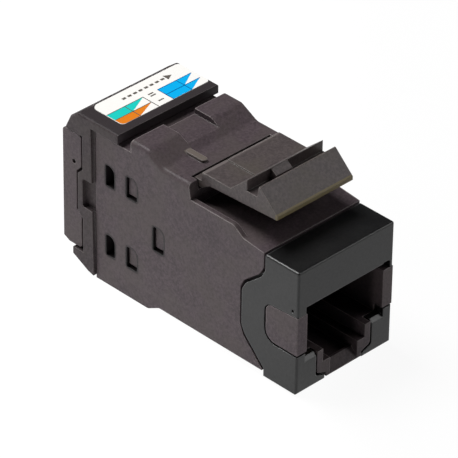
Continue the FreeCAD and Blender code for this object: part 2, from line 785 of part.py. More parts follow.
def cut_bays(body, half):
    """Rear bay for the board, block and guide, and the bay of the contact carrier."""
    bay_half = half - size["wall"]
    rear = front_view(body, size["body_length"])
    outline(rear, rectangle(-bay_half, size["inner_floor"], bay_half, size["inner_roof"], size["bay_round"]))
    pocket(body, rear, size["body_length"] - size["board_face"], back=True)
    comb_half = size["port_width"] / 2
    comb = front_view(body, size["board_face"])
    outline(comb, rectangle(-comb_half, size["port_roof"] - size["fit"], comb_half, size["comb_roof"]))
    pocket(body, comb, size["board_face"] - size["comb_start"], back=True)


def window_outline(names):
    """Outline of one side window, with a wide rounding at its upper front corner."""
    front, low, length, rise = (size[name] for name in names)
    corner = size["window_corner"]
    return [
        (front, low, corner),
        (front + length, low, corner),
        (front + length, low + rise, corner),
        (front, low + rise, size["window_round"]),
    ]


def cut_windows(body, half):
    windows = side_view(body, half - size["wall"] - size["fit"])
    for names in WINDOWS:
        outline(windows, window_outline(names))
    mirror(body, pocket(body, windows, SLACK, back=True))


def cut_top(body, saddle_front):
    """Trough below the latch, saddle between the shoulders, seat of the root, rib."""
    trough = side_view(body)
    outline(trough, rectangle(size["deck_end"] - SLACK, size["deck_height"],
                              saddle_front, size["rail_height"] + SLACK))
    pocket(body, trough, size["body_width"] - size["rail_thickness"] * 2, both=True)
    saddle = side_view(body)
    outline(saddle, rectangle(size["slope_start"] - SLACK, size["saddle_height"] + size["saddle_rise"],
                              size["shoulder_end"] + SLACK, size["shoulder_height"] + SLACK))
    pocket(body, saddle, size["shoulder_inside"] * 2, both=True)
    room = size["root_radius"] + size["root_fit"]
    seat = side_view(body)
    outline(seat, [
        (saddle_front - SLACK, size["root_z"] - room - size["seat_drop"]),
        (size["root_y"], size["root_z"] - room),
        (size["root_y"] + room, size["root_z"] - room, size["root_radius"]),
        (size["root_y"] + room, size["saddle_height"] + SLACK),
        (saddle_front - SLACK, size["saddle_height"] + SLACK),
    ])
    pocket(body, seat, size["latch_width"] + size["gap"] * 2, both=True)
    left = -size["rib_side"] - size["rib_width"] / 2
    rib = top_view(body, size["saddle_height"] - size["rib_rise"])
    outline(rib, rectangle(left, size["rib_front"], left + size["rib_width"],
                           size["rib_front"] + size["rib_length"], size["rib_width"] / 2 - size["fit"]))
    pad(body, rib, size["rib_rise"] * 2)


def add_hook(body):
    """Fixed hook below the housing, for the lower edge of the panel's opening."""
    root = size["belly_height"] + size["fit"]
    end = size["tooth_start"] + size["tooth_length"]
    hook = side_view(body)
    outline(hook, [
        (size["tooth_start"], root),
        (size["tooth_start"], size["tooth_bottom"]),
        (end, size["tooth_bottom"]),
        (end + size["tooth_slope"], root),
    ])
    pad(body, hook, size["tooth_width"], both=True)


def make_latch():
    """Release latch: plate, rear ramp, panel slot, front ramp and round root."""
    body = new_body("release_latch")
    ramp_rear = size["slot_front"] - size["slot_lean"]
    root_low = size["root_z"] - size["root_radius"]
    root_high = size["root_z"] + size["root_radius"]
    plate = side_view(body)
    outline(plate, [
        (size["latch_tip"], size["latch_tip_bottom"]),
        (size["latch_neck_start"], size["latch_rear_bottom"]),
        (size["latch_rear"], root_low),
        (size["root_y"], root_low),
        (size["root_y"], root_high),
        (size["latch_rear"], root_high),
        (size["latch_rear"], size["latch_plate"], size["latch_round"]),
        (size["latch_ramp"], size["latch_plate"]),
        (size["slot_rear"], size["latch_peak"]),
        (size["slot_rear"], size["slot_floor"]),
        (size["slot_front"], size["slot_floor"]),
        (ramp_rear, size["latch_peak"]),
        (ramp_rear - size["peak_width"], size["latch_peak"]),
        (size["latch_tip"], size["latch_tip_top"]),
    ])
    pad(body, plate, size["latch_width"], both=True)
    root = side_view(body)
    ring(root, size["root_y"], size["root_z"], size["root_radius"])
    pad(body, root, size["latch_width"], both=True)
    nib = side_view(body, -size["nib_left"])
    nib_front = size["slot_rear"] - size["nib_depth"]
    outline(nib, [
        (size["slot_rear"] + size["fit"], size["slot_floor"] - size["fit"]),
        (size["slot_rear"] + size["fit"], size["latch_peak"] - size["fit"]),
        (size["slot_rear"], size["latch_peak"] - size["fit"]),
        (nib_front, size["latch_peak"] - size["nib_drop"]),
        (nib_front, size["slot_floor"] - size["fit"]),
    ])
    pad(body, nib, size["nib_left"] + size["nib_right"])
    step = side_view(body, -size["nib_left"])
    outline(step, rectangle(size["latch_ramp"], size["latch_plate"] - size["plate_step"],
                            size["latch_rear"] + SLACK, size["latch_plate"] + SLACK))
    pocket(body, step, size["latch_width"])
    return body


def contact_place(index):
    return size["contact_pitch"] * (index - (CONTACTS - 1) / 2)


def make_carrier():
    """Comb that guides the contact wires above the port."""
    body = new_body("contact_carrier")
    half = size["port_width"] / 2 - size["fit"]
    front = size["comb_start"] + size["fit"]
    block = front_view(body, front)
    outline(block, rectangle(-half, size["port_roof"] + size["fit"], half, size["comb_roof"] - size["fit"]))
    pad(body, block, size["board_face"] - size["fit"] - front, back=True)
    slots = side_view(body, contact_place(0) - size["slot_width"] / 2)
    outline(slots, rectangle(front + size["carrier_front_wall"], size["port_floor"],
                             size["board_face"] + SLACK, size["slot_roof"]))
    first = pocket(body, slots, size["slot_width"], back=True)
    repeat_across(body, first, size["contact_pitch"] * (CONTACTS - 1), CONTACTS)
    return body


def make_wire(index):
    """One spring contact: tail in the board, long slope down, hook at its end."""
    body = new_body(f"contact_wire_{index + 1}")
    across = contact_place(index)
    path = side_view(body, across)
    outline(path, [
        (size["wire_tail"], size["wire_high"]),
        (size["wire_knee"], size["wire_high"], size["wire_bend"]),
        (size["wire_nose"], size["wire_low"], size["wire_bend"]),
        (size["wire_hook"], size["wire_hook_high"]),
    ], closed=False)
    section = front_view(body, size["wire_tail"])
    wide = size["wire_width"] / 2
    thick = size["wire_thickness"] / 2
    outline(section, rectangle(across - wide, size["wire_high"] - thick,
                               across + wide, size["wire_high"] + thick))
    pipe = body.newObject("PartDesign::AdditivePipe", "Pipe")
    pipe.Profile = section
    pipe.Spine = (path, [])
    body.Tip = pipe
    doc.recompute()
    return body


def terminal_places():
    """Centres of the terminals: two rows of four, numbered from the upper left."""
    columns = [-size["terminal_far"], -size["terminal_near"], size["terminal_near"], size["terminal_far"]]
    rows = [size["terminal_row_high"], size["terminal_row_low"]]
    return [(column, row) for row in rows for column in columns]


def make_board():
    """Circuit board between the contact wires and the terminals."""
    body = new_body("circuit_board")
    bay_half = size["body_width"] / 2 - size["wall"]
    edge = size["board_margin"]
    board = front_view(body, size["board_face"] + size["fit"])
    outline(board, rectangle(-bay_half + edge, size["inner_floor"] + edge,
                             bay_half - edge, size["inner_roof"] - edge, size["bay_round"]))
    holes = [(contact_place(index), size["wire_high"], size["wire_hole"]) for index in range(CONTACTS)]
    holes += [(across, up, size["terminal_hole"]) for across, up in terminal_places()]
    for across, up, reach in holes:
        outline(board, rectangle(across - reach, up - reach, across + reach, up + reach))
    pad(body, board, size["board_thickness"], back=True)
    return body


def cut_terminal_slots(body, distance, length):
    """Slots for the wide parts of the terminals."""
    wide = size["terminal_thickness"] / 2 + size["terminal_fit"]
    tall = size["terminal_height"] / 2 + size["terminal_fit"]
    slots = front_view(body, distance)
    for across, up in terminal_places():
        outline(slots, rectangle(across - wide, up - tall, across + wide, up + tall))
    pocket(body, slots, length)


def make_terminal_block():
    """Block that holds the terminals, with lugs that snap into the side windows."""
    body = new_body("terminal_block")
    half = size["body_width"] / 2 - size["wall"] - size["block_margin"]
    block = front_view(body, size["block_start"])
    outline(block, rectangle(-half, size["inner_floor"] + size["block_margin"],
                             half, size["inner_roof"] - size["block_margin"], size["bay_round"]))
    pad(body, block, size["block_end"] - size["block_start"], back=True)
    lugs = side_view(body, half - size["fit"])
    margin = size["lug_margin"]
    for names in WINDOWS:
        front, low, length, rise = (size[name] for name in names)
        if names[0] != "snap_window":
            sill = low + size["lug_sill"]
            outline(lugs, [
                (front + margin, sill),
                (front + length - margin, sill),
                (front + length - margin, low + rise - margin),
                (front + margin, low + rise - margin, size["window_round"] - margin),
            ])
    reach = size["body_width"] / 2 - size["lug_recess"] - half + size["fit"]
    mirror(body, pad(body, lugs, reach))
    cut_terminal_slots(body, size["block_start"], size["block_end"] - size["block_start"])
    return body


def make_terminal(index):
    """Insulation-displacement terminal: tail, wide blade and forked end."""
    body = new_body(f"idc_terminal_{index + 1}")
    across, up = terminal_places()[index]
    half = size["terminal_height"] / 2
    tail = size["terminal_tail_height"] / 2
    throat = size["fork_gap"] / 2
    mouth = size["fork_mouth"] / 2
    throat_start = size["terminal_end"] - size["fork_depth"]
    mouth_start = size["terminal_end"] - size["fork_mouth_depth"]
    blade = side_view(body, across)
    outline(blade, [
        (size["terminal_tail"], up - tail),
        (size["terminal_shoulder"], up - tail),
        (size["terminal_shoulder"], up - half),
        (size["terminal_end"], up - half),
        (size["terminal_end"], up - mouth),
        (mouth_start, up - throat),
        (throat_start, up - throat),
        (throat_start, up + throat),
        (mouth_start, up + throat),
        (size["terminal_end"], up + mouth),
        (size["terminal_end"], up + half),
        (size["terminal_shoulder"], up + half),
        (size["terminal_shoulder"], up + tail),
        (size["terminal_tail"], up + tail),
    ])
    pad(body, blade, size["terminal_thickness"], both=True)
    return body


def make_guide():
    """Guide that leads the conductors onto the forks."""
    body = new_body("wire_manager")
    half = size["body_width"] / 2 - size["wall"] - size["block_margin"]
    low = size["inner_floor"] + size["block_margin"]
    high = size["inner_roof"] - size["block_margin"]
    depth = size["body_length"] + size["fit"] - size["guide_start"]
    block = front_view(body, size["guide_start"])
    outline(block, rectangle(-half, low, half, high, size["bay_round"]))
    ring(block, 0, size["cable_height"], size["guide_bore"])
    pad(body, block, depth, back=True)
    cut_terminal_slots(body, size["guide_start"], size["terminal_end"] + size["gap"] - size["guide_start"])
    middle = size["terminal_end"] - size["fork_depth"] / 2
    wide = size["groove_half"]
    reach = size["terminal_height"] / 2 + wide
    for height, row, upward in ((high, "terminal_row_high", False), (low, "terminal_row_low", True)):
        grooves = top_view(body, height)
        for column, _ in terminal_places()[:WAYS // 2]:
            outline(grooves, rectangle(column - wide, middle - wide, column + wide, middle + wide))
        depth_in = size[row] + reach - low if upward else high - size[row] + reach
        pocket(body, grooves, depth_in, back=upward)
    return body


def make_cap():
    """Termination cap: top plate, brow, side strips and the recess for the clamp."""
    body = new_body("termination_cap")
    half = size["cap_width"] / 2
    frame = size["frame_rear"]
    ledge = frame + size["clamp_step"]
    low_foot = size["clamp_step_low"] - size["clamp_slope"]
    high_foot = size["clamp_step_high"] + size["clamp_slope"]
    clamp_top = size["clamp_top"] + size["gap"]
    clamp_low = size["clamp_bottom"] - size["gap"]
    side = side_view(body)
    outline(side, [
        (size["cap_seat"], size["cap_sole"]),
        (size["cap_sole_end"], size["cap_sole"] + size["cap_sole_rise"]),
        (size["cap_heel"], size["cap_heel_height"]),
        (size["cap_heel"], clamp_low),
        (frame, clamp_low),
        (frame, low_foot),
        (ledge, size["clamp_step_low"]),
        (ledge, size["clamp_step_high"]),
        (frame, high_foot),
        (frame, clamp_top),
        (size["cap_tail"], clamp_top),
        (size["cap_tail"], size["cap_tail_height"]),
        (size["cap_brow"], size["cap_brow_height"], size["cap_brow_round"]),
        (size["cap_crest"], size["cap_top"], size["cap_crest_round"]),
        (size["cap_front"], size["cap_top"]),
        (size["cap_front"], size["cap_underside"]),
        (size["cap_seat"], size["cap_underside"]),
    ])
    pad(body, side, size["cap_width"], both=True)
    sides = on_sides(half)
    underside = size["cap_underside"].value
    round_edges(body, lambda a, b: sides(a, b) and min(a.z, b.z) > underside + TOUCH and
                min(a.y, b.y) < size["cap_brow"].value, size["cap_round"])
    entry = front_view(body, size["cap_front"])
    ring(entry, 0, size["cable_height"], size["cap_bore"])
    pocket(body, entry, size["cap_tail"] - size["cap_front"])
    lean = side_view(body, size["body_width"] / 2)
    outline(lean, [
        (size["cap_seat"] - SLACK, size["cap_sole"] - size["fit"]),
        (size["cap_seat"], size["cap_sole"] - size["fit"]),
        (size["cap_lean"], size["cap_underside"]),
        (size["cap_seat"] - SLACK, size["cap_underside"]),
    ])
    mirror(body, pocket(body, lean, SLACK, back=True))
    notch = side_view(body, half - size["notch_depth"])
    outline(notch, [
        (size["cap_seat"] - SLACK, size["notch_low"]),
        (size["notch_end"], size["notch_low"], size["notch_round"]),
        (size["notch_end"], size["notch_high"], size["notch_round"]),
        (size["cap_seat"] - SLACK, size["notch_high"]),
    ])
    mirror(body, pocket(body, notch, SLACK, back=True))
    grips = top_view(body, size["grip_floor"])
    for index in range(GRIPS):
        across = size["grip_pitch"] * (index - (GRIPS - 1) / 2) + size["grip_shift"]
        ring(grips, across, size["grip_place"], size["grip_radius"])
    pocket(body, grips, SLACK, back=True)
    recess = top_view(body, size["cap_top"])
    outline(recess, label_outline(0))
    pocket(body, recess, size["label_recess"])
    return body


def label_outline(shrink):
    """Outline of the label, seen from above, with a wide rounding at its rear left corner."""
    left = -size["label_left"] + shrink
    right = size["label_right"] - shrink
    front = size["label_front"] + shrink
    rear = size["label_rear"] - shrink
    corner = size["label_round"]
    return [(left, front, corner), (right, front, corner), (right, rear, corner), (left, rear, corner * 2)]


def make_label():
    """Wiring label on the cap's top."""
    body = new_body("wiring_label")
    label = top_view(body, size["cap_top"] - size["label_recess"])
    outline(label, label_outline(size["fit"] / 2))
    pad(body, label, size["label_thickness"])
    return body


def make_clamp():
    """Cable clamp that slides into the rear of the cap."""
    body = new_body("cable_clamp")
    front = size["frame_rear"] + size["clamp_gap"]
    ledge = front + size["clamp_step"]
    corner = size["clamp_round"]
    side = side_view(body)
    outline(side, [
        (front, size["clamp_bottom"], corner),
        (size["clamp_rear"] - size["clamp_bevel"], size["clamp_bottom"]),
        (size["clamp_rear"], size["clamp_bottom"] + size["clamp_bevel"] / 2),
        (size["clamp_rear"], size["clamp_top"], corner),
        (front, size["clamp_top"], corner),
        (front, size["clamp_step_high"] + size["clamp_slope"]),
        (ledge, size["clamp_step_high"]),
        (ledge, size["clamp_step_low"]),
        (front, size["clamp_step_low"] - size["clamp_slope"]),
    ])
    pad(body, side, size["clamp_width"], both=True)
    entry = front_view(body, front)
    ring(entry, 0, size["cable_height"], size["cable_bore"])
    pocket(body, entry, size["clamp_rear"] - front)
    ridge = front_view(body, ledge + size["gap"])
    ring(ridge, 0, size["cable_height"], size["cable_bore"] + size["gap"])
    ring(ridge, 0, size["cable_height"], size["cable_bore"] - size["tooth_ring"])
    pad(body, ridge, size["tooth_ring_depth"], back=True)
    mark = side_view(body, size["clamp_width"] / 2 - size["pit_radius"])
    height = size["clamp_step_high"] + size["clamp_slope"] + size["pit_radius"]
    ring(mark, size["clamp_rear"] - size["pit_place"], height, size["pit_radius"])
    mirror(body, pocket(body, mark, SLACK, back=True))
    return body


def check_and_write(bodies):
    """Stops on any failed object, then writes each piece under its own name."""
    doc.recompute()
    for item in doc.Objects:
        if "Invalid" in item.State or "Error" in item.State:
            raise RuntimeError(f"{item.Label} failed: {item.State}")
    for body in bodies:
        shape = body.Shape
        if shape.isNull() or not shape.isValid() or len(shape.Solids) != 1:
            raise RuntimeError(f"{body.Label} is not one valid solid")
    os.makedirs("parts", exist_ok=True)
    for body in bodies:
        body.Shape.exportStep(f"parts/{body.Label}.step")
        print(f"{body.Label}: {body.Shape.Volume:.1f} cubic mm, {len(body.Shape.Faces)} faces")


check_and_write([
    make_housing(),
    make_bezel(),
    make_latch(),
    make_carrier(),
    *(make_wire(index) for index in range(CONTACTS)),
    make_board(),
    make_terminal_block(),
    *(make_terminal(index) for index in range(WAYS)),
    make_guide(),
    make_cap(),
    make_label(),
    make_clamp(),
])
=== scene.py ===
"""Finishes, label print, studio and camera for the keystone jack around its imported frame."""

import logging
import math
from dataclasses import dataclass, field, replace
from enum import Enum
from typing import Iterable, Sequence

import bmesh
import bpy
from mathutils import Matrix, Vector


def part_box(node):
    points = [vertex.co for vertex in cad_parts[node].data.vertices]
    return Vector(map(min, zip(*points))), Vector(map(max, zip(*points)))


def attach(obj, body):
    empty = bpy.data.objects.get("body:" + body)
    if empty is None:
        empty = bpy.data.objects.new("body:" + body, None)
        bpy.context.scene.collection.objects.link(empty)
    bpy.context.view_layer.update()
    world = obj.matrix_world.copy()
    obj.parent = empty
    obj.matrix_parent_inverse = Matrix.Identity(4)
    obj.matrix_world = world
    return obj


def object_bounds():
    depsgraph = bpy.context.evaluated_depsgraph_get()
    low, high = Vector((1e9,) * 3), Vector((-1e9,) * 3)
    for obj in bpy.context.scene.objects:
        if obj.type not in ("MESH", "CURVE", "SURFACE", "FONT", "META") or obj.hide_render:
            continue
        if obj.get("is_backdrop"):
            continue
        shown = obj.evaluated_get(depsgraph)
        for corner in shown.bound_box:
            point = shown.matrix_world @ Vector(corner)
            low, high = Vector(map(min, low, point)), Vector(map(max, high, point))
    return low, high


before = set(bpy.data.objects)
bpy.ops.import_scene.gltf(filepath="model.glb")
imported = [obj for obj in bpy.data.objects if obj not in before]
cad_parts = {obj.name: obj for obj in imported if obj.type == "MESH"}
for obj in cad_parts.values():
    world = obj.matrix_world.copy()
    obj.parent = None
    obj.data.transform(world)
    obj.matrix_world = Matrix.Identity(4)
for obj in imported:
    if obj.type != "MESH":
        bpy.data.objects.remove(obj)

MM = 0.001
LOG = logging.getLogger("keystone_jack")

Colour = tuple[float, float, float]
Point = tuple[float, float]
Socket = bpy.types.NodeSocket

NUMBER = "NodeSocketFloat"
VECTOR = "NodeSocketVector"
# The upward part of the normal over which edges go from no painted highlight to a full one.
HIGHLIGHT_SLOPES = (-0.35, 0.5)
# Rub marks are noise stretched along the jack, and only its peaks show.
STREAK_STRETCH = (1.0, 0.12, 1.0)
STREAK_LIMITS = (0.56, 0.78)
# Straight steps in a rounded corner of the print.
CORNER_STEPS = 6


def from_screen(red: int, green: int, blue: int) -> Colour:
    """Turns a colour as a screen shows it into the linear colour that shaders use.

    Args:
        red: Red from 0 to 255.
        green: Green from 0 to 255.
        blue: Blue from 0 to 255.

    Returns:
        The linear colour.
    """
    def linear(channel: int) -> float:
        """Straightens one channel."""
        share = channel / 255
        return share / 12.92 if share <= 0.04045 else ((share + 0.055) / 1.055) ** 2.4

    return linear(red), linear(green), linear(blue)


class NodeTree:
    """Short hand for adding and joining shader nodes."""

    def __init__(self, tree: bpy.types.NodeTree) -> None:
        """Keeps the tree that the nodes go into."""
        self.tree = tree
        self.column = 0

    def add(self, kind: str, **values: object) -> bpy.types.Node:
        """Adds a node and sets its plain values and inputs.

        Args:
            kind: The node's type name.
            values: Attributes of the node, or inputs by their name with spaces as underscores.

        Returns:
            The new node.
        """
        node = self.tree.nodes.new(kind)
        node.location = (self.column * 180, 0)
        self.column += 1
        for name, value in values.items():
            label = name.replace("_", " ")
            if hasattr(node, name):
                setattr(node, name, value)
            else:
                node.inputs[label].default_value = value
        return node

    def join(self, source: Socket, target: Socket) -> None:
        """Joins an output to an input."""
        self.tree.links.new(source, target)

    def value(self, operation: str, first: object, second: object = None) -> Socket:
        """Adds a math node.

        Args:
            operation: The math node's operation.
            first: A socket or a number.
            second: A socket or a number, where the operation takes two.

        Returns:
            The result's socket.
        """
        node = self.add("ShaderNodeMath", operation=operation)
        for index, item in enumerate((first, second)):
            if isinstance(item, Socket):
                self.join(item, node.inputs[index])
            elif item is not None:
                node.inputs[index].default_value = item
        return node.outputs[0]

    def ramp(self, factor: Socket, low: float | Socket, high: float | Socket) -> Socket:
        """Spreads the stretch from low to high over 0 to 1, softly.

        Args:
            factor: The value to spread.
            low: What becomes 0, a socket or a number.
            high: What becomes 1, a socket or a number.

        Returns:
            The spread value's socket.
        """
        node = self.add("ShaderNodeMapRange", interpolation_type="SMOOTHSTEP")
        self.join(factor, node.inputs["Value"])
        for label, limit in (("From Min", low), ("From Max", high)):
            if isinstance(limit, Socket):
                self.join(limit, node.inputs[label])
            else:
                node.inputs[label].default_value = limit
        return node.outputs["Result"]

    def blend(self, factor: object, first: object, second: object) -> Socket:
        """Mixes two colours.

        Args:
            factor: Share of the second colour, a socket or a number.
            first: A socket or a colour.
            second: A socket or a colour.

        Returns:
            The mixed colour's socket.
        """
        node = self.add("ShaderNodeMix", data_type="RGBA")
        for index, item in ((0, factor), (6, first), (7, second)):
            if isinstance(item, Socket):
                self.join(item, node.inputs[index])
            elif index == 0:
                node.inputs[index].default_value = item
            else:
                node.inputs[index].default_value = (*item, 1.0)
        return node.outputs[2]

    def raise_detail(self, shader: bpy.types.Node, height: Socket, strength: float, distance: float,
                     normal: Socket | None = None) -> None:
        """Gives a shader's surface fine relief.

        Args:
            shader: The main shader.
            height: The relief's height.
            strength: How strongly it shows.
            distance: Its depth.
            normal: The normal that it adds to, or None for the surface's own.
        """
        bump = self.add("ShaderNodeBump", Strength=strength, Distance=distance)
        self.join(height, bump.inputs["Height"])
        if normal is not None:
            self.join(normal, bump.inputs["Normal"])
        self.join(bump.outputs["Normal"], shader.inputs["Normal"])


class Effect(Enum):
    """Shader node groups that the finishes share."""

    EDGE = "rounded_edge"
    GRAIN = "moulded_grain"
    RUB = "rub_marks"
    CREVICE = "painted_crevice_shade"
    REGION = "marked_region"


def new_group(effect: Effect, inputs: dict[str, float],
              outputs: dict[str, str]) -> tuple[NodeTree, bpy.types.Node, bpy.types.Node]:
    """Starts a shader node group.

    Args:
        effect: Which group it is.
        inputs: Each number input and its default.
        outputs: Each output and its socket type.

    Returns:
        The group's tree, its input node and its output node.
    """
    group = bpy.data.node_groups.new(effect.value, "ShaderNodeTree")
    for label, default in inputs.items():
        socket = group.interface.new_socket(name=label, in_out="INPUT", socket_type=NUMBER)
        socket.default_value = default
    for label, kind in outputs.items():
        group.interface.new_socket(name=label, in_out="OUTPUT", socket_type=kind)
    tree = NodeTree(group)
    return tree, tree.add("NodeGroupInput"), tree.add("NodeGroupOutput")


def object_place(tree: NodeTree) -> Socket:
    """Gives the place on the object that textures follow."""
    return tree.add("ShaderNodeTexCoord").outputs["Object"]


def build_edge_group() -> bpy.types.NodeTree:
    """Builds the group that rounds edges for the light and marks them.

    Returns:
        The group, with the outputs Mask for upward-facing edges, which take the painted highlight and gloss,
        Rim for all of them, and Normal.
    """
    tree, given, out = new_group(Effect.EDGE, {"Radius": 0.1 * MM, "Start": 0.02, "Full": 0.25},
                                 {"Mask": NUMBER, "Rim": NUMBER, "Normal": VECTOR})
    bevel = tree.add("ShaderNodeBevel", samples=6)
    tree.join(given.outputs["Radius"], bevel.inputs["Radius"])
    flat = tree.add("ShaderNodeNewGeometry")
    dot = tree.add("ShaderNodeVectorMath", operation="DOT_PRODUCT")
    tree.join(bevel.outputs["Normal"], dot.inputs[0])
    tree.join(flat.outputs["Normal"], dot.inputs[1])
    turn = tree.value("SUBTRACT", 1.0, dot.outputs["Value"])
    rim = tree.ramp(turn, given.outputs["Start"], given.outputs["Full"])
    upward = tree.add("ShaderNodeSeparateXYZ")
    tree.join(bevel.outputs["Normal"], upward.inputs[0])
    # Edges that face up get more of the painted highlight than edges that face down.
    tree.join(tree.value("MULTIPLY", rim, tree.ramp(upward.outputs["Z"], *HIGHLIGHT_SLOPES)), out.inputs["Mask"])
    tree.join(rim, out.inputs["Rim"])
    tree.join(bevel.outputs["Normal"], out.inputs["Normal"])
    return tree.tree


def build_grain_group() -> bpy.types.NodeTree:
    """Builds the group for the fine spark-eroded grain of moulded plastic.

    Returns:
        The group, with the outputs Tint, Speck, Height and Dull.
    """
    tree, given, out = new_group(Effect.GRAIN, {"Grain": 6000.0, "Cloud": 240.0, "Spot": 2900.0},
                                 {"Tint": NUMBER, "Speck": NUMBER, "Height": NUMBER, "Dull": NUMBER})
    place = object_place(tree)
    noises = {}
    for label, output, detail, roughness in (("Grain", "Height", 3.0, 0.6), ("Cloud", "Tint", 4.0, 0.55),
                                             ("Spot", "Speck", 5.0, 0.75)):
        noise = tree.add("ShaderNodeTexNoise", Detail=detail, Roughness=roughness)
        tree.join(place, noise.inputs["Vector"])
        tree.join(given.outputs[label], noise.inputs["Scale"])
        tree.join(noise.outputs["Fac"], out.inputs[output])
        noises[label] = noise.outputs["Fac"]
    tree.join(tree.value("MULTIPLY", noises["Cloud"], noises["Grain"]), out.inputs["Dull"])
    return tree.tree


def build_rub_group() -> bpy.types.NodeTree:
    """Builds the group for the faint rub marks that run along the jack.

    Returns:
        The group, with the output Mask.
    """
    tree, given, out = new_group(Effect.RUB, {"Scale": 300.0, "Amount": 0.5}, {"Mask": NUMBER})
    stretch = tree.add("ShaderNodeMapping")
    stretch.inputs["Scale"].default_value = STREAK_STRETCH
    tree.join(object_place(tree), stretch.inputs["Vector"])
    streaks = tree.add("ShaderNodeTexNoise", Detail=6.0, Roughness=0.7)
    tree.join(stretch.outputs["Vector"], streaks.inputs["Vector"])
    tree.join(given.outputs["Scale"], streaks.inputs["Scale"])
    marks = tree.ramp(streaks.outputs["Fac"], *STREAK_LIMITS)
    tree.join(tree.value("MULTIPLY", marks, given.outputs["Amount"]), out.inputs["Mask"])
    return tree.tree


def build_crevice_group() -> bpy.types.NodeTree:
    """Builds the group that marks narrow gaps and inner corners for painted shade.

    Returns:
        The group, with the output Mask.
    """
    inputs = {"Reach": 0.35 * MM, "Start": 0.25, "Full": 0.75, "Amount": 0.95}
    tree, given, out = new_group(Effect.CREVICE, inputs, {"Mask": NUMBER})
    open_share = tree.add("ShaderNodeAmbientOcclusion", samples=8)
    tree.join(given.outputs["Reach"], open_share.inputs["Distance"])
    closed = tree.value("SUBTRACT", 1.0, open_share.outputs["AO"])
    gathered = tree.ramp(closed, given.outputs["Start"], given.outputs["Full"])
    tree.join(tree.value("MULTIPLY", gathered, given.outputs["Amount"]), out.inputs["Mask"])
    return tree.tree


def build_region_group() -> bpy.types.NodeTree:
    """Builds the group that marks a box-shaped region of a piece with soft sides.

    Returns:
        The group, with the output Mask.
    """
    limits = {f"{side} {axis}": 0.0 for axis in "XYZ" for side in ("Low", "High")}
    tree, given, out = new_group(Effect.REGION, {**limits, "Soft": 0.06 * MM}, {"Mask": NUMBER})
    place = tree.add("ShaderNodeSeparateXYZ")
    tree.join(object_place(tree), place.inputs[0])
    mask = 1.0
    for axis in "XYZ":
        above = tree.value("SUBTRACT", place.outputs[axis], given.outputs[f"Low {axis}"])
        below = tree.value("SUBTRACT", given.outputs[f"High {axis}"], place.outputs[axis])
        depth = tree.value("DIVIDE", tree.value("MINIMUM", above, below), given.outputs["Soft"])
        mask = tree.value("MULTIPLY", tree.ramp(depth, -0.5, 0.5), mask)
    tree.join(mask, out.inputs["Mask"])
    return tree.tree


def place_effect(tree: NodeTree, effect: Effect, **values: float) -> bpy.types.Node:
    """Places a shared node group in a material.

    Args:
        tree: The material's tree.
        effect: Which group.
        values: The group's inputs by name.

    Returns:
        The group node.
    """
    node = tree.add("ShaderNodeGroup")
    node.node_tree = bpy.data.node_groups[effect.value]
    for name, value in values.items():
        node.inputs[name.replace("_", " ")].default_value = value
    return node


def start_material(name: str) -> tuple[bpy.types.Material, NodeTree, bpy.types.Node]:
    """Starts a material with its main shader.

    Args:
        name: The material's name.

    Returns:
        The material, its tree and its main shader.
    """
    material = bpy.data.materials.new(name)
    material.use_nodes = True
    material.node_tree.nodes.clear()
    tree = NodeTree(material.node_tree)
    shader = tree.add("ShaderNodeBsdfPrincipled")
    output = tree.add("ShaderNodeOutputMaterial")
    tree.join(shader.outputs["BSDF"], output.inputs["Surface"])
    return material, tree, shader


@dataclass(frozen=True)
class Mark:
    """A box-shaped region of a moulding, in millimetres, with its own colour, such as painted shade, a
    painted highlight or a lighter patch.
    """

    low: tuple[float, float, float]
    high: tuple[float, float, float]
    colour: Colour
    share: float = 0.8
    soft: float = 0.06

    def limits(self) -> dict[str, float]:
        """Gives the region's sides and softness by the names of the group's inputs."""
        sides = {f"Low_{axis}": self.low[index] * MM for index, axis in enumerate("XYZ")}
        sides |= {f"High_{axis}": self.high[index] * MM for index, axis in enumerate("XYZ")}
        return sides | {"Soft": self.soft * MM}

    def lay_over(self, tree: NodeTree, colour: Socket, mask: Socket | None = None) -> Socket:
        """Lays the mark's colour over another one.

        Args:
            tree: The material's tree.
            colour: The colour below.
            mask: Where in the region the mark shows, or None for all of it.

        Returns:
            The colour with the mark.
        """
        shown = place_effect(tree, Effect.REGION, **self.limits()).outputs["Mask"]
        if mask is not None:
            shown = tree.value("MULTIPLY", shown, mask)
        return tree.blend(tree.value("MULTIPLY", shown, self.share), colour, self.colour)


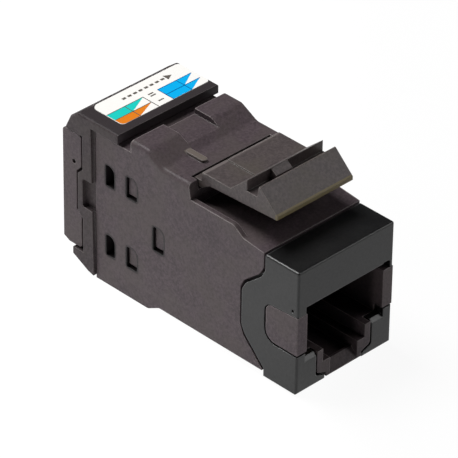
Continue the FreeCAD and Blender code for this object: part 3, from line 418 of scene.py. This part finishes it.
@dataclass(frozen=True)
class MouldedPlastic:
    """Dark satin plastic with fine grain, painted highlights on rounded edges, painted shade in crevices and
    faint rub marks.
    """

    name: str
    colour: Colour
    second_colour: Colour
    edge_highlight_colour: Colour
    rub_colour: Colour
    roughness: float
    gloss: float = 0.5
    edge_radius: float = 0.15 * MM
    edge_highlight_share: float = 0.85
    edge_gloss: float = 0.5
    rub_share: float = 0.35
    grain_depth: float = 0.1
    grain_height: float = 0.02 * MM
    grain_dullness: float = 0.24
    mottle: float = 0.26
    mottle_limits: tuple[float, float] = (0.38, 0.62)
    sheen_mottle: float = 0.04
    speck_weight: float = 0.8
    cloud_weight: float = 0.2
    tone_share: float = 0.4
    tone_limits: tuple[float, float] = (0.42, 0.62)
    edge_polish: float = 0.12
    coat_roughness: float = 0.3
    crevice_shade_colour: Colour = (0.002, 0.0018, 0.0018)
    crevice_reach: float = 0.35 * MM
    crevice_limits: tuple[float, float] = (0.25, 0.75)
    # Regions of painted shade, painted highlights or a lighter patch.
    marks: tuple[Mark, ...] = ()
    # Regions whose rims get painted shade.
    shade_rims: tuple[Mark, ...] = ()
    shade_rim_radius: float = 0.5 * MM
    shade_rim_limits: tuple[float, float] = (0.001, 0.014)
    # Regions whose rims get painted highlights.
    highlight_rims: tuple[Mark, ...] = ()
    highlight_rim_limits: tuple[float, float] = (0.02, 0.4)

    def build(self) -> bpy.types.Material:
        """Builds the material.

        Returns:
            The finished material.
        """
        material, tree, shader = start_material(self.name)
        edge = place_effect(tree, Effect.EDGE, Radius=self.edge_radius)
        grain = place_effect(tree, Effect.GRAIN)
        crevice = place_effect(tree, Effect.CREVICE, Reach=self.crevice_reach,
                               Start=self.crevice_limits[0], Full=self.crevice_limits[1])
        specks = tree.value("MULTIPLY", grain.outputs["Speck"], self.speck_weight)
        clouds = tree.value("MULTIPLY", grain.outputs["Tint"], self.cloud_weight)
        mottled = tree.ramp(tree.value("ADD", specks, clouds), *self.mottle_limits)
        edged = self.edged_colour(tree, edge, self.toned_colour(tree, grain, mottled))
        # Painted shade: ambient occlusion darkens narrow gaps and inner corners towards black.
        colour = tree.blend(crevice.outputs["Mask"], edged, self.crevice_shade_colour)
        tree.join(colour, shader.inputs["Base Color"])
        dull = tree.value("MULTIPLY", grain.outputs["Dull"], self.grain_dullness)
        polished = tree.value("MULTIPLY", edge.outputs["Mask"], self.edge_polish)
        tree.join(tree.value("SUBTRACT", tree.value("ADD", dull, self.roughness), polished),
                  shader.inputs["Roughness"])
        patchy = tree.value("MULTIPLY", mottled, self.sheen_mottle)
        shine = tree.value("MULTIPLY", edge.outputs["Mask"], self.edge_gloss)
        tree.join(tree.value("ADD", shine, patchy), shader.inputs["Coat Weight"])
        shader.inputs["Coat Roughness"].default_value = self.coat_roughness
        shader.inputs["Specular IOR Level"].default_value = self.gloss
        tree.raise_detail(shader, grain.outputs["Height"], self.grain_depth, self.grain_height,
                          edge.outputs["Normal"])
        return material

    def toned_colour(self, tree: NodeTree, grain: bpy.types.Node, mottled: Socket) -> Socket:
        """Mixes the moulding's two colours, its rub marks and its marked regions of painted shade, painted
        highlights or a lighter patch.

        Args:
            tree: The material's tree.
            grain: The grain's group node.
            mottled: The mottling, from 0 to 1.

        Returns:
            The colour away from edges.
        """
        darker = tuple(channel * (1.0 - self.mottle) for channel in self.colour)
        lighter = tuple(channel * (1.0 + self.mottle) for channel in self.colour)
        toned = tree.value("MULTIPLY", tree.ramp(grain.outputs["Tint"], *self.tone_limits), self.tone_share)
        colour = tree.blend(toned, tree.blend(mottled, darker, lighter), self.second_colour)
        rub = place_effect(tree, Effect.RUB, Amount=self.rub_share)
        colour = tree.blend(rub.outputs["Mask"], colour, self.rub_colour)
        for mark in self.marks:
            colour = mark.lay_over(tree, colour)
        return colour

    def edged_colour(self, tree: NodeTree, edge: bpy.types.Node, colour: Socket) -> Socket:
        """Paints highlights on upward-facing edges, and paints highlights and shade on the rims of chosen
        regions.

        Args:
            tree: The material's tree.
            edge: The edge's group node.
            colour: The colour away from edges.

        Returns:
            The colour with its edges.
        """
        # Painted highlight: edges are lightened towards the highlight colour.
        highlighted = tree.value("MULTIPLY", edge.outputs["Mask"], self.edge_highlight_share)
        colour = tree.blend(highlighted, colour, self.edge_highlight_colour)
        if self.highlight_rims:
            narrow = tree.ramp(edge.outputs["Rim"], *self.highlight_rim_limits)
            for mark in self.highlight_rims:
                colour = mark.lay_over(tree, colour, narrow)
        if self.shade_rims:
            wide = place_effect(tree, Effect.EDGE, Radius=self.shade_rim_radius,
                                Start=self.shade_rim_limits[0], Full=self.shade_rim_limits[1])
            for mark in self.shade_rims:
                colour = mark.lay_over(tree, colour, wide.outputs["Rim"])
        return colour


@dataclass(frozen=True)
class PlatedMetal:
    """Plated spring metal with fine drawing lines."""

    name: str
    colour: Colour
    shade: Colour
    roughness: float
    edge_radius: float = 0.05 * MM
    line_scale: float = 2400.0
    line_share: float = 0.8
    line_dullness: float = 0.2

    def build(self) -> bpy.types.Material:
        """Builds the material.

        Returns:
            The finished material.
        """
        material, tree, shader = start_material(self.name)
        edge = place_effect(tree, Effect.EDGE, Radius=self.edge_radius)
        rub = place_effect(tree, Effect.RUB, Scale=self.line_scale, Amount=self.line_share)
        tree.join(tree.blend(rub.outputs["Mask"], self.colour, self.shade), shader.inputs["Base Color"])
        dull = tree.value("MULTIPLY", rub.outputs["Mask"], self.line_dullness)
        tree.join(tree.value("ADD", dull, self.roughness), shader.inputs["Roughness"])
        shader.inputs["Metallic"].default_value = 1.0
        tree.join(edge.outputs["Normal"], shader.inputs["Normal"])
        return material


@dataclass(frozen=True)
class BoardLacquer:
    """Green lacquer over glass laminate, with a faint weave."""

    name: str
    colour: Colour
    weave_colour: Colour
    roughness: float = 0.3
    weave_scale: float = 2600.0
    weave_share: float = 0.35
    weave_depth: float = 0.1
    weave_height: float = 0.01 * MM

    def build(self) -> bpy.types.Material:
        """Builds the material.

        Returns:
            The finished material.
        """
        material, tree, shader = start_material(self.name)
        weave = tree.add("ShaderNodeTexChecker", Scale=self.weave_scale)
        tree.join(object_place(tree), weave.inputs["Vector"])
        threads = tree.value("MULTIPLY", weave.outputs["Fac"], self.weave_share)
        tree.join(tree.blend(threads, self.colour, self.weave_colour), shader.inputs["Base Color"])
        tree.raise_detail(shader, weave.outputs["Fac"], self.weave_depth, self.weave_height)
        shader.inputs["Roughness"].default_value = self.roughness
        return material


@dataclass(frozen=True)
class PrintedPaper:
    """Coated label paper or the ink on it, with a faint fibre pattern."""

    name: str
    colour: Colour
    roughness: float = 0.45
    gloss: float = 0.3
    fibre_share: float = 0.06
    fibre_scale: float = 9000.0
    fibre_dullness: float = 0.2
    fibre_depth: float = 0.04
    fibre_height: float = 0.01 * MM
    cloud_scale: float = 900.0

    def build(self) -> bpy.types.Material:
        """Builds the material.

        Returns:
            The finished material.
        """
        material, tree, shader = start_material(self.name)
        grain = place_effect(tree, Effect.GRAIN, Grain=self.fibre_scale, Cloud=self.cloud_scale)
        darker = tuple(channel * (1.0 - self.fibre_share) for channel in self.colour)
        tree.join(tree.blend(grain.outputs["Tint"], darker, self.colour), shader.inputs["Base Color"])
        dull = tree.value("MULTIPLY", grain.outputs["Dull"], self.fibre_dullness)
        tree.join(tree.value("ADD", dull, self.roughness), shader.inputs["Roughness"])
        shader.inputs["Specular IOR Level"].default_value = self.gloss
        tree.raise_detail(shader, grain.outputs["Height"], self.fibre_depth, self.fibre_height)
        return material


Finish = MouldedPlastic | PlatedMetal | BoardLacquer | PrintedPaper

# A lighter pill-shaped patch on the housing's top.
PALE_PILL_PATCH = Mark((-3.5, 18.8, 11.95), (-2.5, 21.9, 12.6), from_screen(104, 96, 88))
# Painted shade inside the port.
PORT_SHADE = Mark((-6.7, 1.6, -6.85), (6.7, 18.0, 5.0), from_screen(30, 26, 27), 0.8, 1.5)
# Painted shade inside the side windows.
WINDOW_SHADES = tuple(Mark((low, 20.6, -4.5), (high, 30.7, 8.4), from_screen(15, 13, 14), 0.9)
                      for low, high in ((-7.37, -6.24), (6.24, 7.37)))
# Painted shade around the rims of the side windows.
WINDOW_RIM_SHADE = Mark((-8.0, 20.7, -4.6), (8.0, 30.7, 8.6), from_screen(18, 16, 17), 1.0)
# Painted highlights along the upper side edges.
SIDE_RIM_HIGHLIGHTS = tuple(Mark((low, 3.0, 8.75), (high, 28.5, 14.0), from_screen(150, 142, 140), 0.85)
                  for low, high in ((-8.0, -7.0), (7.0, 8.0)))
# Painted shade over the cap's top plate.
PLATE_SHADE = Mark((-7.7, 27.0, 11.6), (7.7, 34.7, 13.4), from_screen(50, 45, 47), 0.85)
# Painted highlight, yellowish, along the latch's front tip.
TIP_HIGHLIGHT = Mark((-6.0, 4.8, 12.0), (6.0, 5.3, 12.8), from_screen(100, 88, 50), 0.8)
# Painted highlight along the latch's rear ridge.
REAR_RIDGE_HIGHLIGHT = Mark((-6.0, 16.14, 12.7), (6.0, 16.8, 13.2), from_screen(112, 104, 102), 0.75, 0.12)
WARM_GREY = MouldedPlastic(
    "warm_grey_plastic", colour=from_screen(75, 65, 69), second_colour=from_screen(72, 66, 62),
    edge_highlight_colour=from_screen(152, 142, 142), rub_colour=from_screen(86, 79, 80), roughness=0.4, gloss=0.2,
    edge_radius=0.24 * MM, marks=(PALE_PILL_PATCH, PORT_SHADE, *WINDOW_SHADES), shade_rims=(WINDOW_RIM_SHADE,),
    highlight_rims=SIDE_RIM_HIGHLIGHTS)
CLAMP_GREY = replace(WARM_GREY, name="clamp_grey_plastic", marks=(), shade_rims=(), highlight_rims=())
# The terminal block's plastic, with wider and stronger painted crevice shade around the lugs.
LUG_GREY_DEEP_SHADE = replace(CLAMP_GREY, name="lug_grey_plastic_deep_shade", crevice_reach=0.8 * MM, crevice_limits=(0.12, 0.5))
LATCH_GREY = MouldedPlastic(
    "latch_grey_plastic", colour=from_screen(74, 66, 66), second_colour=from_screen(71, 66, 56),
    edge_highlight_colour=from_screen(140, 131, 124), rub_colour=from_screen(84, 78, 76), roughness=0.38, gloss=0.36,
    edge_radius=0.16 * MM, marks=(TIP_HIGHLIGHT, REAR_RIDGE_HIGHLIGHT))
COOL_BLACK = MouldedPlastic(
    "cool_black_plastic", colour=from_screen(15, 15, 16), second_colour=from_screen(18, 19, 18),
    edge_highlight_colour=from_screen(116, 117, 117), rub_colour=from_screen(28, 28, 28), roughness=0.27, rub_share=0.2,
    edge_radius=0.18 * MM, sheen_mottle=0.1)
CAP_GREY = MouldedPlastic(
    "cap_grey_plastic", colour=from_screen(65, 58, 60), second_colour=from_screen(62, 57, 54),
    edge_highlight_colour=from_screen(134, 126, 126), rub_colour=from_screen(74, 67, 68), roughness=0.4, gloss=0.12,
    edge_radius=0.2 * MM, marks=(PLATE_SHADE,))
INNER_BLACK = MouldedPlastic(
    "inner_black_plastic", colour=from_screen(26, 25, 26), second_colour=from_screen(28, 27, 27),
    edge_highlight_colour=from_screen(48, 47, 47), rub_colour=from_screen(50, 49, 49), roughness=0.5, rub_share=0.1)
GOLD = PlatedMetal("gold_plating", from_screen(226, 186, 110), from_screen(190, 150, 80), 0.22)
TIN = PlatedMetal("tin_plating", from_screen(205, 205, 202), from_screen(160, 160, 158), 0.32)
BOARD = BoardLacquer("board_lacquer", from_screen(20, 84, 48), from_screen(36, 108, 66))
PAPER = PrintedPaper("label_paper", from_screen(246, 244, 240))
TEAL_INK = PrintedPaper("teal_ink", from_screen(0, 202, 191))
ORANGE_INK = PrintedPaper("orange_ink", from_screen(224, 123, 2))
BLUE_INK = PrintedPaper("blue_ink", from_screen(0, 172, 234), gloss=0.1)
NAVY_INK = PrintedPaper("navy_ink", from_screen(0, 84, 150), gloss=0.1)
GREY_INK = PrintedPaper("grey_ink", from_screen(96, 90, 84))


@dataclass
class Dresser:
    """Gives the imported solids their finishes."""

    finishes: dict[str, Finish] = field(default_factory=lambda: {
        "housing": WARM_GREY,
        "front_bezel": COOL_BLACK,
        "release_latch": LATCH_GREY,
        "contact_carrier": INNER_BLACK,
        "circuit_board": BOARD,
        "terminal_block": LUG_GREY_DEEP_SHADE,
        "wire_manager": INNER_BLACK,
        "termination_cap": CAP_GREY,
        "wiring_label": PAPER,
        "cable_clamp": CLAMP_GREY,
    })
    families: dict[str, Finish] = field(default_factory=lambda: {"contact_wire_": GOLD, "idc_terminal_": TIN})

    def finish_for(self, node: str) -> Finish:
        """Picks a node's finish.

        Args:
            node: The node's name.

        Returns:
            The finish.
        """
        for start, finish in self.families.items():
            if node.startswith(start):
                return finish
        return self.finishes[node]

    def dress(self) -> None:
        """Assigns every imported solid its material."""
        for node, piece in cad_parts.items():
            finish = self.finish_for(node)
            give_material(piece, finish)
            LOG.info("%s: %s", node, finish.name)


def give_material(piece: bpy.types.Object, finish: Finish) -> None:
    """Puts a finish on all of a piece's material slots.

    Args:
        piece: The piece.
        finish: The finish, built once and then shared.
    """
    material = bpy.data.materials.get(finish.name) or finish.build()
    if not piece.material_slots:
        piece.data.materials.append(material)
    for slot in piece.material_slots:
        slot.material = material


def build_piece(name: str, outlines: Iterable[Sequence[Point]], low: float,
                thickness: float) -> bpy.types.Object:
    """Makes thin flat pieces with given outlines, seen from above.

    Args:
        name: The object's name.
        outlines: Closed outlines in metres, counter-clockwise.
        low: Height of the underside.
        thickness: Thickness of the pieces.

    Returns:
        The new object.
    """
    shape = bmesh.new()
    for outline in outlines:
        lower = [shape.verts.new((x, y, low)) for x, y in outline]
        upper = [shape.verts.new((x, y, low + thickness)) for x, y in outline]
        shape.faces.new(reversed(lower))
        shape.faces.new(upper)
        for index, start in enumerate(lower):
            following = (index + 1) % len(lower)
            shape.faces.new((start, lower[following], upper[following], upper[index]))
    mesh = bpy.data.meshes.new(name)
    shape.to_mesh(mesh)
    shape.free()
    piece = bpy.data.objects.new(name, mesh)
    bpy.context.scene.collection.objects.link(piece)
    return piece


def stroke(start: Point, end: Point, width: float) -> list[Point]:
    """Outline of a straight printed line.

    Args:
        start: Where the line starts.
        end: Where it ends.
        width: Its width.

    Returns:
        The outline's corners.
    """
    along = Vector((end[0] - start[0], end[1] - start[1])).normalized()
    side = Vector((along.y, -along.x)) * width / 2
    return [
        (start[0] + side.x, start[1] + side.y),
        (end[0] + side.x, end[1] + side.y),
        (end[0] - side.x, end[1] - side.y),
        (start[0] - side.x, start[1] - side.y),
    ]


@dataclass
class Pennant:
    """A printed wiring mark: a coloured band that runs out into a point."""

    name: str
    finish: PrintedPaper
    left: float
    shoulder: float
    tip: float
    front: float
    rear: float
    rounding: float = 0.0
    framed: bool = False

    def corners(self) -> list[Point]:
        """Gives the outline's corners, counter-clockwise from the front left."""
        start = [(self.left, self.front)]
        if self.rounding:
            turns = [math.pi / 2 * step / CORNER_STEPS for step in range(CORNER_STEPS + 1)]
            start = [(self.left + self.rounding * (1 - math.cos(turn)),
                      self.front + self.rounding * (1 - math.sin(turn))) for turn in turns]
        return [*start, (self.shoulder, self.front), (self.tip, self.rear), (self.left, self.rear)]

    def lines(self) -> list[tuple[Point, Point]]:
        """Gives the dark lines along the rear edge, across the shoulder and, if framed, at the left."""
        lines = [
            ((self.left, self.rear), (self.tip, self.rear)),
            ((self.shoulder, self.front), (self.shoulder, self.rear)),
        ]
        if self.framed:
            lines.append(((self.left, self.front), (self.left, self.rear)))
        return lines


@dataclass
class LabelPrint:
    """The print on the wiring label: coloured pennants, thin lines and plain marks."""

    ink: float = 0.012 * MM
    line_width: float = 0.1 * MM
    front: float = 29.24 * MM
    middle: float = 30.46 * MM
    rear: float = 31.86 * MM
    left_group: float = -5.86 * MM
    left_shoulder: float = -3.15 * MM
    left_tip: float = -0.3 * MM
    right_group: float = 1.98 * MM
    right_shoulder: float = 4.85 * MM
    right_tip: float = 7.25 * MM
    corner: float = 0.55 * MM
    bar_place: float = 33.1 * MM
    bar_reach: float = 3.3 * MM
    bar_shift: float = 1.0 * MM
    bar_pitch: float = 0.85 * MM
    bar_share: float = 0.62
    bar_width: float = 0.34 * MM
    head_gap: float = 0.1 * MM
    head_length: float = 0.95 * MM
    head_half: float = 0.5 * MM
    tally_rows: tuple[tuple[float, int], ...] = ((31.6 * MM, 2), (30.1 * MM, 1))
    tally_middle: float = 0.85 * MM
    tally_half: float = 0.4 * MM
    tally_pitch: float = 0.42 * MM
    tally_width: float = 0.2 * MM

    def pennants(self) -> list[Pennant]:
        """Lists the coloured marks."""
        left = (self.left_group, self.left_shoulder, self.left_tip)
        right = (self.right_group, self.right_shoulder, self.right_tip)
        return [
            Pennant("teal_pennant", TEAL_INK, *left, self.middle, self.rear),
            Pennant("orange_pennant", ORANGE_INK, *left, self.front, self.middle, self.corner),
            Pennant("blue_pennant_rear", BLUE_INK, *right, self.middle, self.rear, framed=True),
            Pennant("blue_pennant_front", BLUE_INK, *right, self.front, self.middle, framed=True),
        ]

    def build(self) -> None:
        """Builds the print on the label's top face."""
        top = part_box("wiring_label")[1].z
        left_lines: list[list[Point]] = []
        right_lines: list[list[Point]] = []
        for pennant in self.pennants():
            self.lay(build_piece(pennant.name, [pennant.corners()], top, self.ink), pennant.finish)
            lines = right_lines if pennant.framed else left_lines
            lines += [stroke(start, end, self.line_width) for start, end in pennant.lines()]
        left_lines.append(stroke((self.left_tip, self.front), (self.left_tip, self.rear), self.line_width))
        self.lay(build_piece("left_lines", left_lines, top + self.ink, self.ink), GREY_INK)
        self.lay(build_piece("right_lines", right_lines, top + self.ink, self.ink), NAVY_INK)
        self.lay(build_piece("print_marks", self.marks(), top, self.ink), GREY_INK)

    def marks(self) -> list[list[Point]]:
        """Outlines of a plain row of bars with an arrow head, and of two small tallies.

        Returns:
            The outlines.
        """
        outlines = []
        for step in range(round(2 * self.bar_reach / self.bar_pitch)):
            start = self.bar_shift - self.bar_reach + step * self.bar_pitch
            end = start + self.bar_pitch * self.bar_share
            outlines.append(stroke((start, self.bar_place), (end, self.bar_place), self.bar_width))
        head = self.bar_shift + self.bar_reach + self.head_gap
        outlines.append([(head, self.bar_place - self.head_half), (head + self.head_length, self.bar_place),
                         (head, self.bar_place + self.head_half)])
        low, high = self.tally_middle - self.tally_half, self.tally_middle + self.tally_half
        for place, count in self.tally_rows:
            for index in range(count):
                y = place + (index - (count - 1) / 2) * self.tally_pitch
                outlines.append(stroke((low, y), (high, y), self.tally_width))
        return outlines

    def lay(self, piece: bpy.types.Object, finish: PrintedPaper) -> None:
        """Puts a printed piece on the label.

        Args:
            piece: The printed piece.
            finish: Its ink.
        """
        give_material(piece, finish)
        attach(piece, "cap")
        LOG.info("%s: %d faces", piece.name, len(piece.data.polygons))


@dataclass(frozen=True)
class Lamp:
    """A soft square lamp that points at the jack."""

    name: str
    place: tuple[float, float, float]
    size: float
    power: float


@dataclass
class Studio:
    """Pale floor that glows towards the rear left and shows a painted sheen in reflections, white horizon
    under dim upper surroundings, and soft lamps.
    """

    target: Vector = field(default_factory=lambda: Vector((0.0, 15 * MM, 0.0)))
    surround: Colour = (0.02, 0.02, 0.021)
    horizon_limits: tuple[float, float] = (0.02, 0.2)
    # Painted sheen of the floor for glossy rays, darker at the front and brighter at the rear, and the colour
    # of the floor's glow that lights the jack.
    sheen_front: Colour = (0.66, 0.66, 0.66)
    sheen_rear: Colour = (0.98, 0.98, 0.98)
    table_glow: Colour = (0.95, 0.95, 0.95)
    sheen_limits: tuple[float, float] = (-10 * MM, 30 * MM)
    floor_colour: Colour = (0.9, 0.9, 0.9)
    floor_roughness: float = 0.9
    floor_size: float = 1.2
    floor_depth: float = 2 * MM
    floor_thickness: float = 1.98 * MM
    camera_share: float = 0.93
    lamps: tuple[Lamp, ...] = (
        Lamp("key_lamp", (-0.05, 0.22, 0.43), 0.22, 2.4),
        Lamp("front_card", (0.25, -0.23, 0.26), 0.20, 0.38),
        Lamp("edge_card", (-0.25, 0.27, 0.26), 0.14, 0.2),
    )

    def build(self) -> None:
        """Builds the floor, the surroundings and the lamps."""
        self.build_world()
        self.build_floor()
        for lamp in self.lamps:
            self.add_lamp(lamp)

    def build_world(self) -> None:
        """Makes the surroundings white to the camera, with a white horizon in reflections."""
        world = bpy.data.worlds.new("surroundings")
        bpy.context.scene.world = world
        world.use_nodes = True
        world.node_tree.nodes.clear()
        tree = NodeTree(world.node_tree)
        height = tree.add("ShaderNodeSeparateXYZ")
        tree.join(tree.add("ShaderNodeTexCoord").outputs["Generated"], height.inputs[0])
        horizon = tree.value("SUBTRACT", 1.0, tree.ramp(height.outputs["Z"], *self.horizon_limits))
        paths = tree.add("ShaderNodeLightPath")
        mirrored = tree.value("MULTIPLY", paths.outputs["Is Glossy Ray"], horizon)
        seen = tree.value("MAXIMUM", paths.outputs["Is Camera Ray"], mirrored)
        light = tree.add("ShaderNodeBackground")
        light.inputs["Color"].default_value = (*self.surround, 1.0)
        white = tree.add("ShaderNodeBackground")
        white.inputs["Color"].default_value = (1.0, 1.0, 1.0, 1.0)
        mix = tree.add("ShaderNodeMixShader")
        output = tree.add("ShaderNodeOutputWorld")
        tree.join(seen, mix.inputs[0])
        tree.join(light.outputs[0], mix.inputs[1])
        tree.join(white.outputs[0], mix.inputs[2])
        tree.join(mix.outputs[0], output.inputs["Surface"])

    def build_floor(self) -> None:
        """Lays a pale floor below the jack that keeps a faint shadow, glows towards the rear left to light
        the jack, and shows a painted sheen in reflections.
        """
        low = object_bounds()[0].z
        half = self.floor_size / 2
        square = [(-half, -half), (half, -half), (half, half), (-half, half)]
        floor = build_piece("floor", [square], low - self.floor_depth, self.floor_thickness)
        material, tree, shader = start_material("pale_floor")
        shader.inputs["Base Color"].default_value = (*self.floor_colour, 1.0)
        shader.inputs["Roughness"].default_value = self.floor_roughness
        paths = tree.add("ShaderNodeLightPath")
        place = tree.add("ShaderNodeSeparateXYZ")
        tree.join(object_place(tree), place.inputs[0])
        # The floor glows towards the rear left to light the jack, and glossy rays see a painted sheen on it,
        # brighter to the rear left.
        rear_left_glow = tree.ramp(tree.value("SUBTRACT", place.outputs["Y"], place.outputs["X"]), *self.sheen_limits)
        glow = tree.add("ShaderNodeEmission")
        sheen = tree.add("ShaderNodeEmission")
        tree.join(tree.blend(rear_left_glow, self.sheen_front, self.sheen_rear), sheen.inputs["Color"])
        tree.join(rear_left_glow, shader.inputs["Emission Strength"])
        shader.inputs["Emission Color"].default_value = (*self.table_glow, 1.0)
        surface = shader.outputs["BSDF"]
        shares = (("Is Glossy Ray", sheen, 1.0), ("Is Camera Ray", glow, self.camera_share))
        for path, light, amount in shares:
            mix = tree.add("ShaderNodeMixShader")
            tree.join(tree.value("MULTIPLY", paths.outputs[path], amount), mix.inputs[0])
            tree.join(surface, mix.inputs[1])
            tree.join(light.outputs[0], mix.inputs[2])
            surface = mix.outputs[0]
        output = next(node for node in tree.tree.nodes if node.type == "OUTPUT_MATERIAL")
        tree.join(surface, output.inputs["Surface"])
        floor.data.materials.append(material)
        floor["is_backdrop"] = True

    def add_lamp(self, lamp: Lamp) -> None:
        """Adds a lamp and turns it to the jack.

        Args:
            lamp: The lamp.
        """
        data = bpy.data.lights.new(lamp.name, "AREA")
        data.size = lamp.size
        data.energy = lamp.power
        piece = bpy.data.objects.new(lamp.name, data)
        piece.location = lamp.place
        piece.rotation_euler = (self.target - Vector(lamp.place)).to_track_quat("-Z", "Y").to_euler()
        bpy.context.scene.collection.objects.link(piece)
        LOG.info("%s: %.2f W", lamp.name, lamp.power)


@dataclass
class Viewpoint:
    """The photograph's viewpoint, as a camera that looks at the jack from afar."""

    azimuth: float = math.radians(-44.971)
    elevation: float = math.radians(34.097)
    roll: float = math.radians(0.82)
    distance: float = 450.095 * MM
    focal_pixels: float = 4033.263
    picture_width: int = 458
    sensor: float = 36.0
    near_limit: float = 10 * MM
    look_at: Vector = field(default_factory=lambda: Vector((0.0, 15 * MM, 0.45 * MM)))
    shift_right: float = -2.215 * MM
    shift_up: float = 2.499 * MM

    def build(self) -> None:
        """Adds the camera and makes it the scene's."""
        back = Vector((math.sin(self.azimuth) * math.cos(self.elevation),
                       -math.cos(self.azimuth) * math.cos(self.elevation), math.sin(self.elevation)))
        level = Vector((math.cos(self.azimuth), math.sin(self.azimuth), 0.0))
        upright = back.cross(level)
        right = level * math.cos(self.roll) + upright * math.sin(self.roll)
        up = upright * math.cos(self.roll) - level * math.sin(self.roll)
        data = bpy.data.cameras.new("camera")
        data.sensor_width = self.sensor
        data.lens = self.focal_pixels * self.sensor / self.picture_width
        data.clip_start = self.near_limit
        camera = bpy.data.objects.new("camera", data)
        turn = Matrix((right, up, back)).transposed()
        place = self.look_at + back * self.distance + right * self.shift_right + up * self.shift_up
        camera.matrix_world = Matrix.Translation(place) @ turn.to_4x4()
        bpy.context.scene.collection.objects.link(camera)
        bpy.context.scene.camera = camera


def main() -> None:
    """Builds the finishes, the print, the studio and the camera in order."""
    logging.basicConfig(level=logging.INFO, format="%(name)s: %(message)s")
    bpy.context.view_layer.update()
    bpy.context.scene.view_settings.view_transform = "Standard"
    build_edge_group()
    build_grain_group()
    build_rub_group()
    build_crevice_group()
    build_region_group()
    Viewpoint().build()
    Dresser().dress()
    LabelPrint().build()
    Studio().build()


if __name__ == "__main__":
    main()
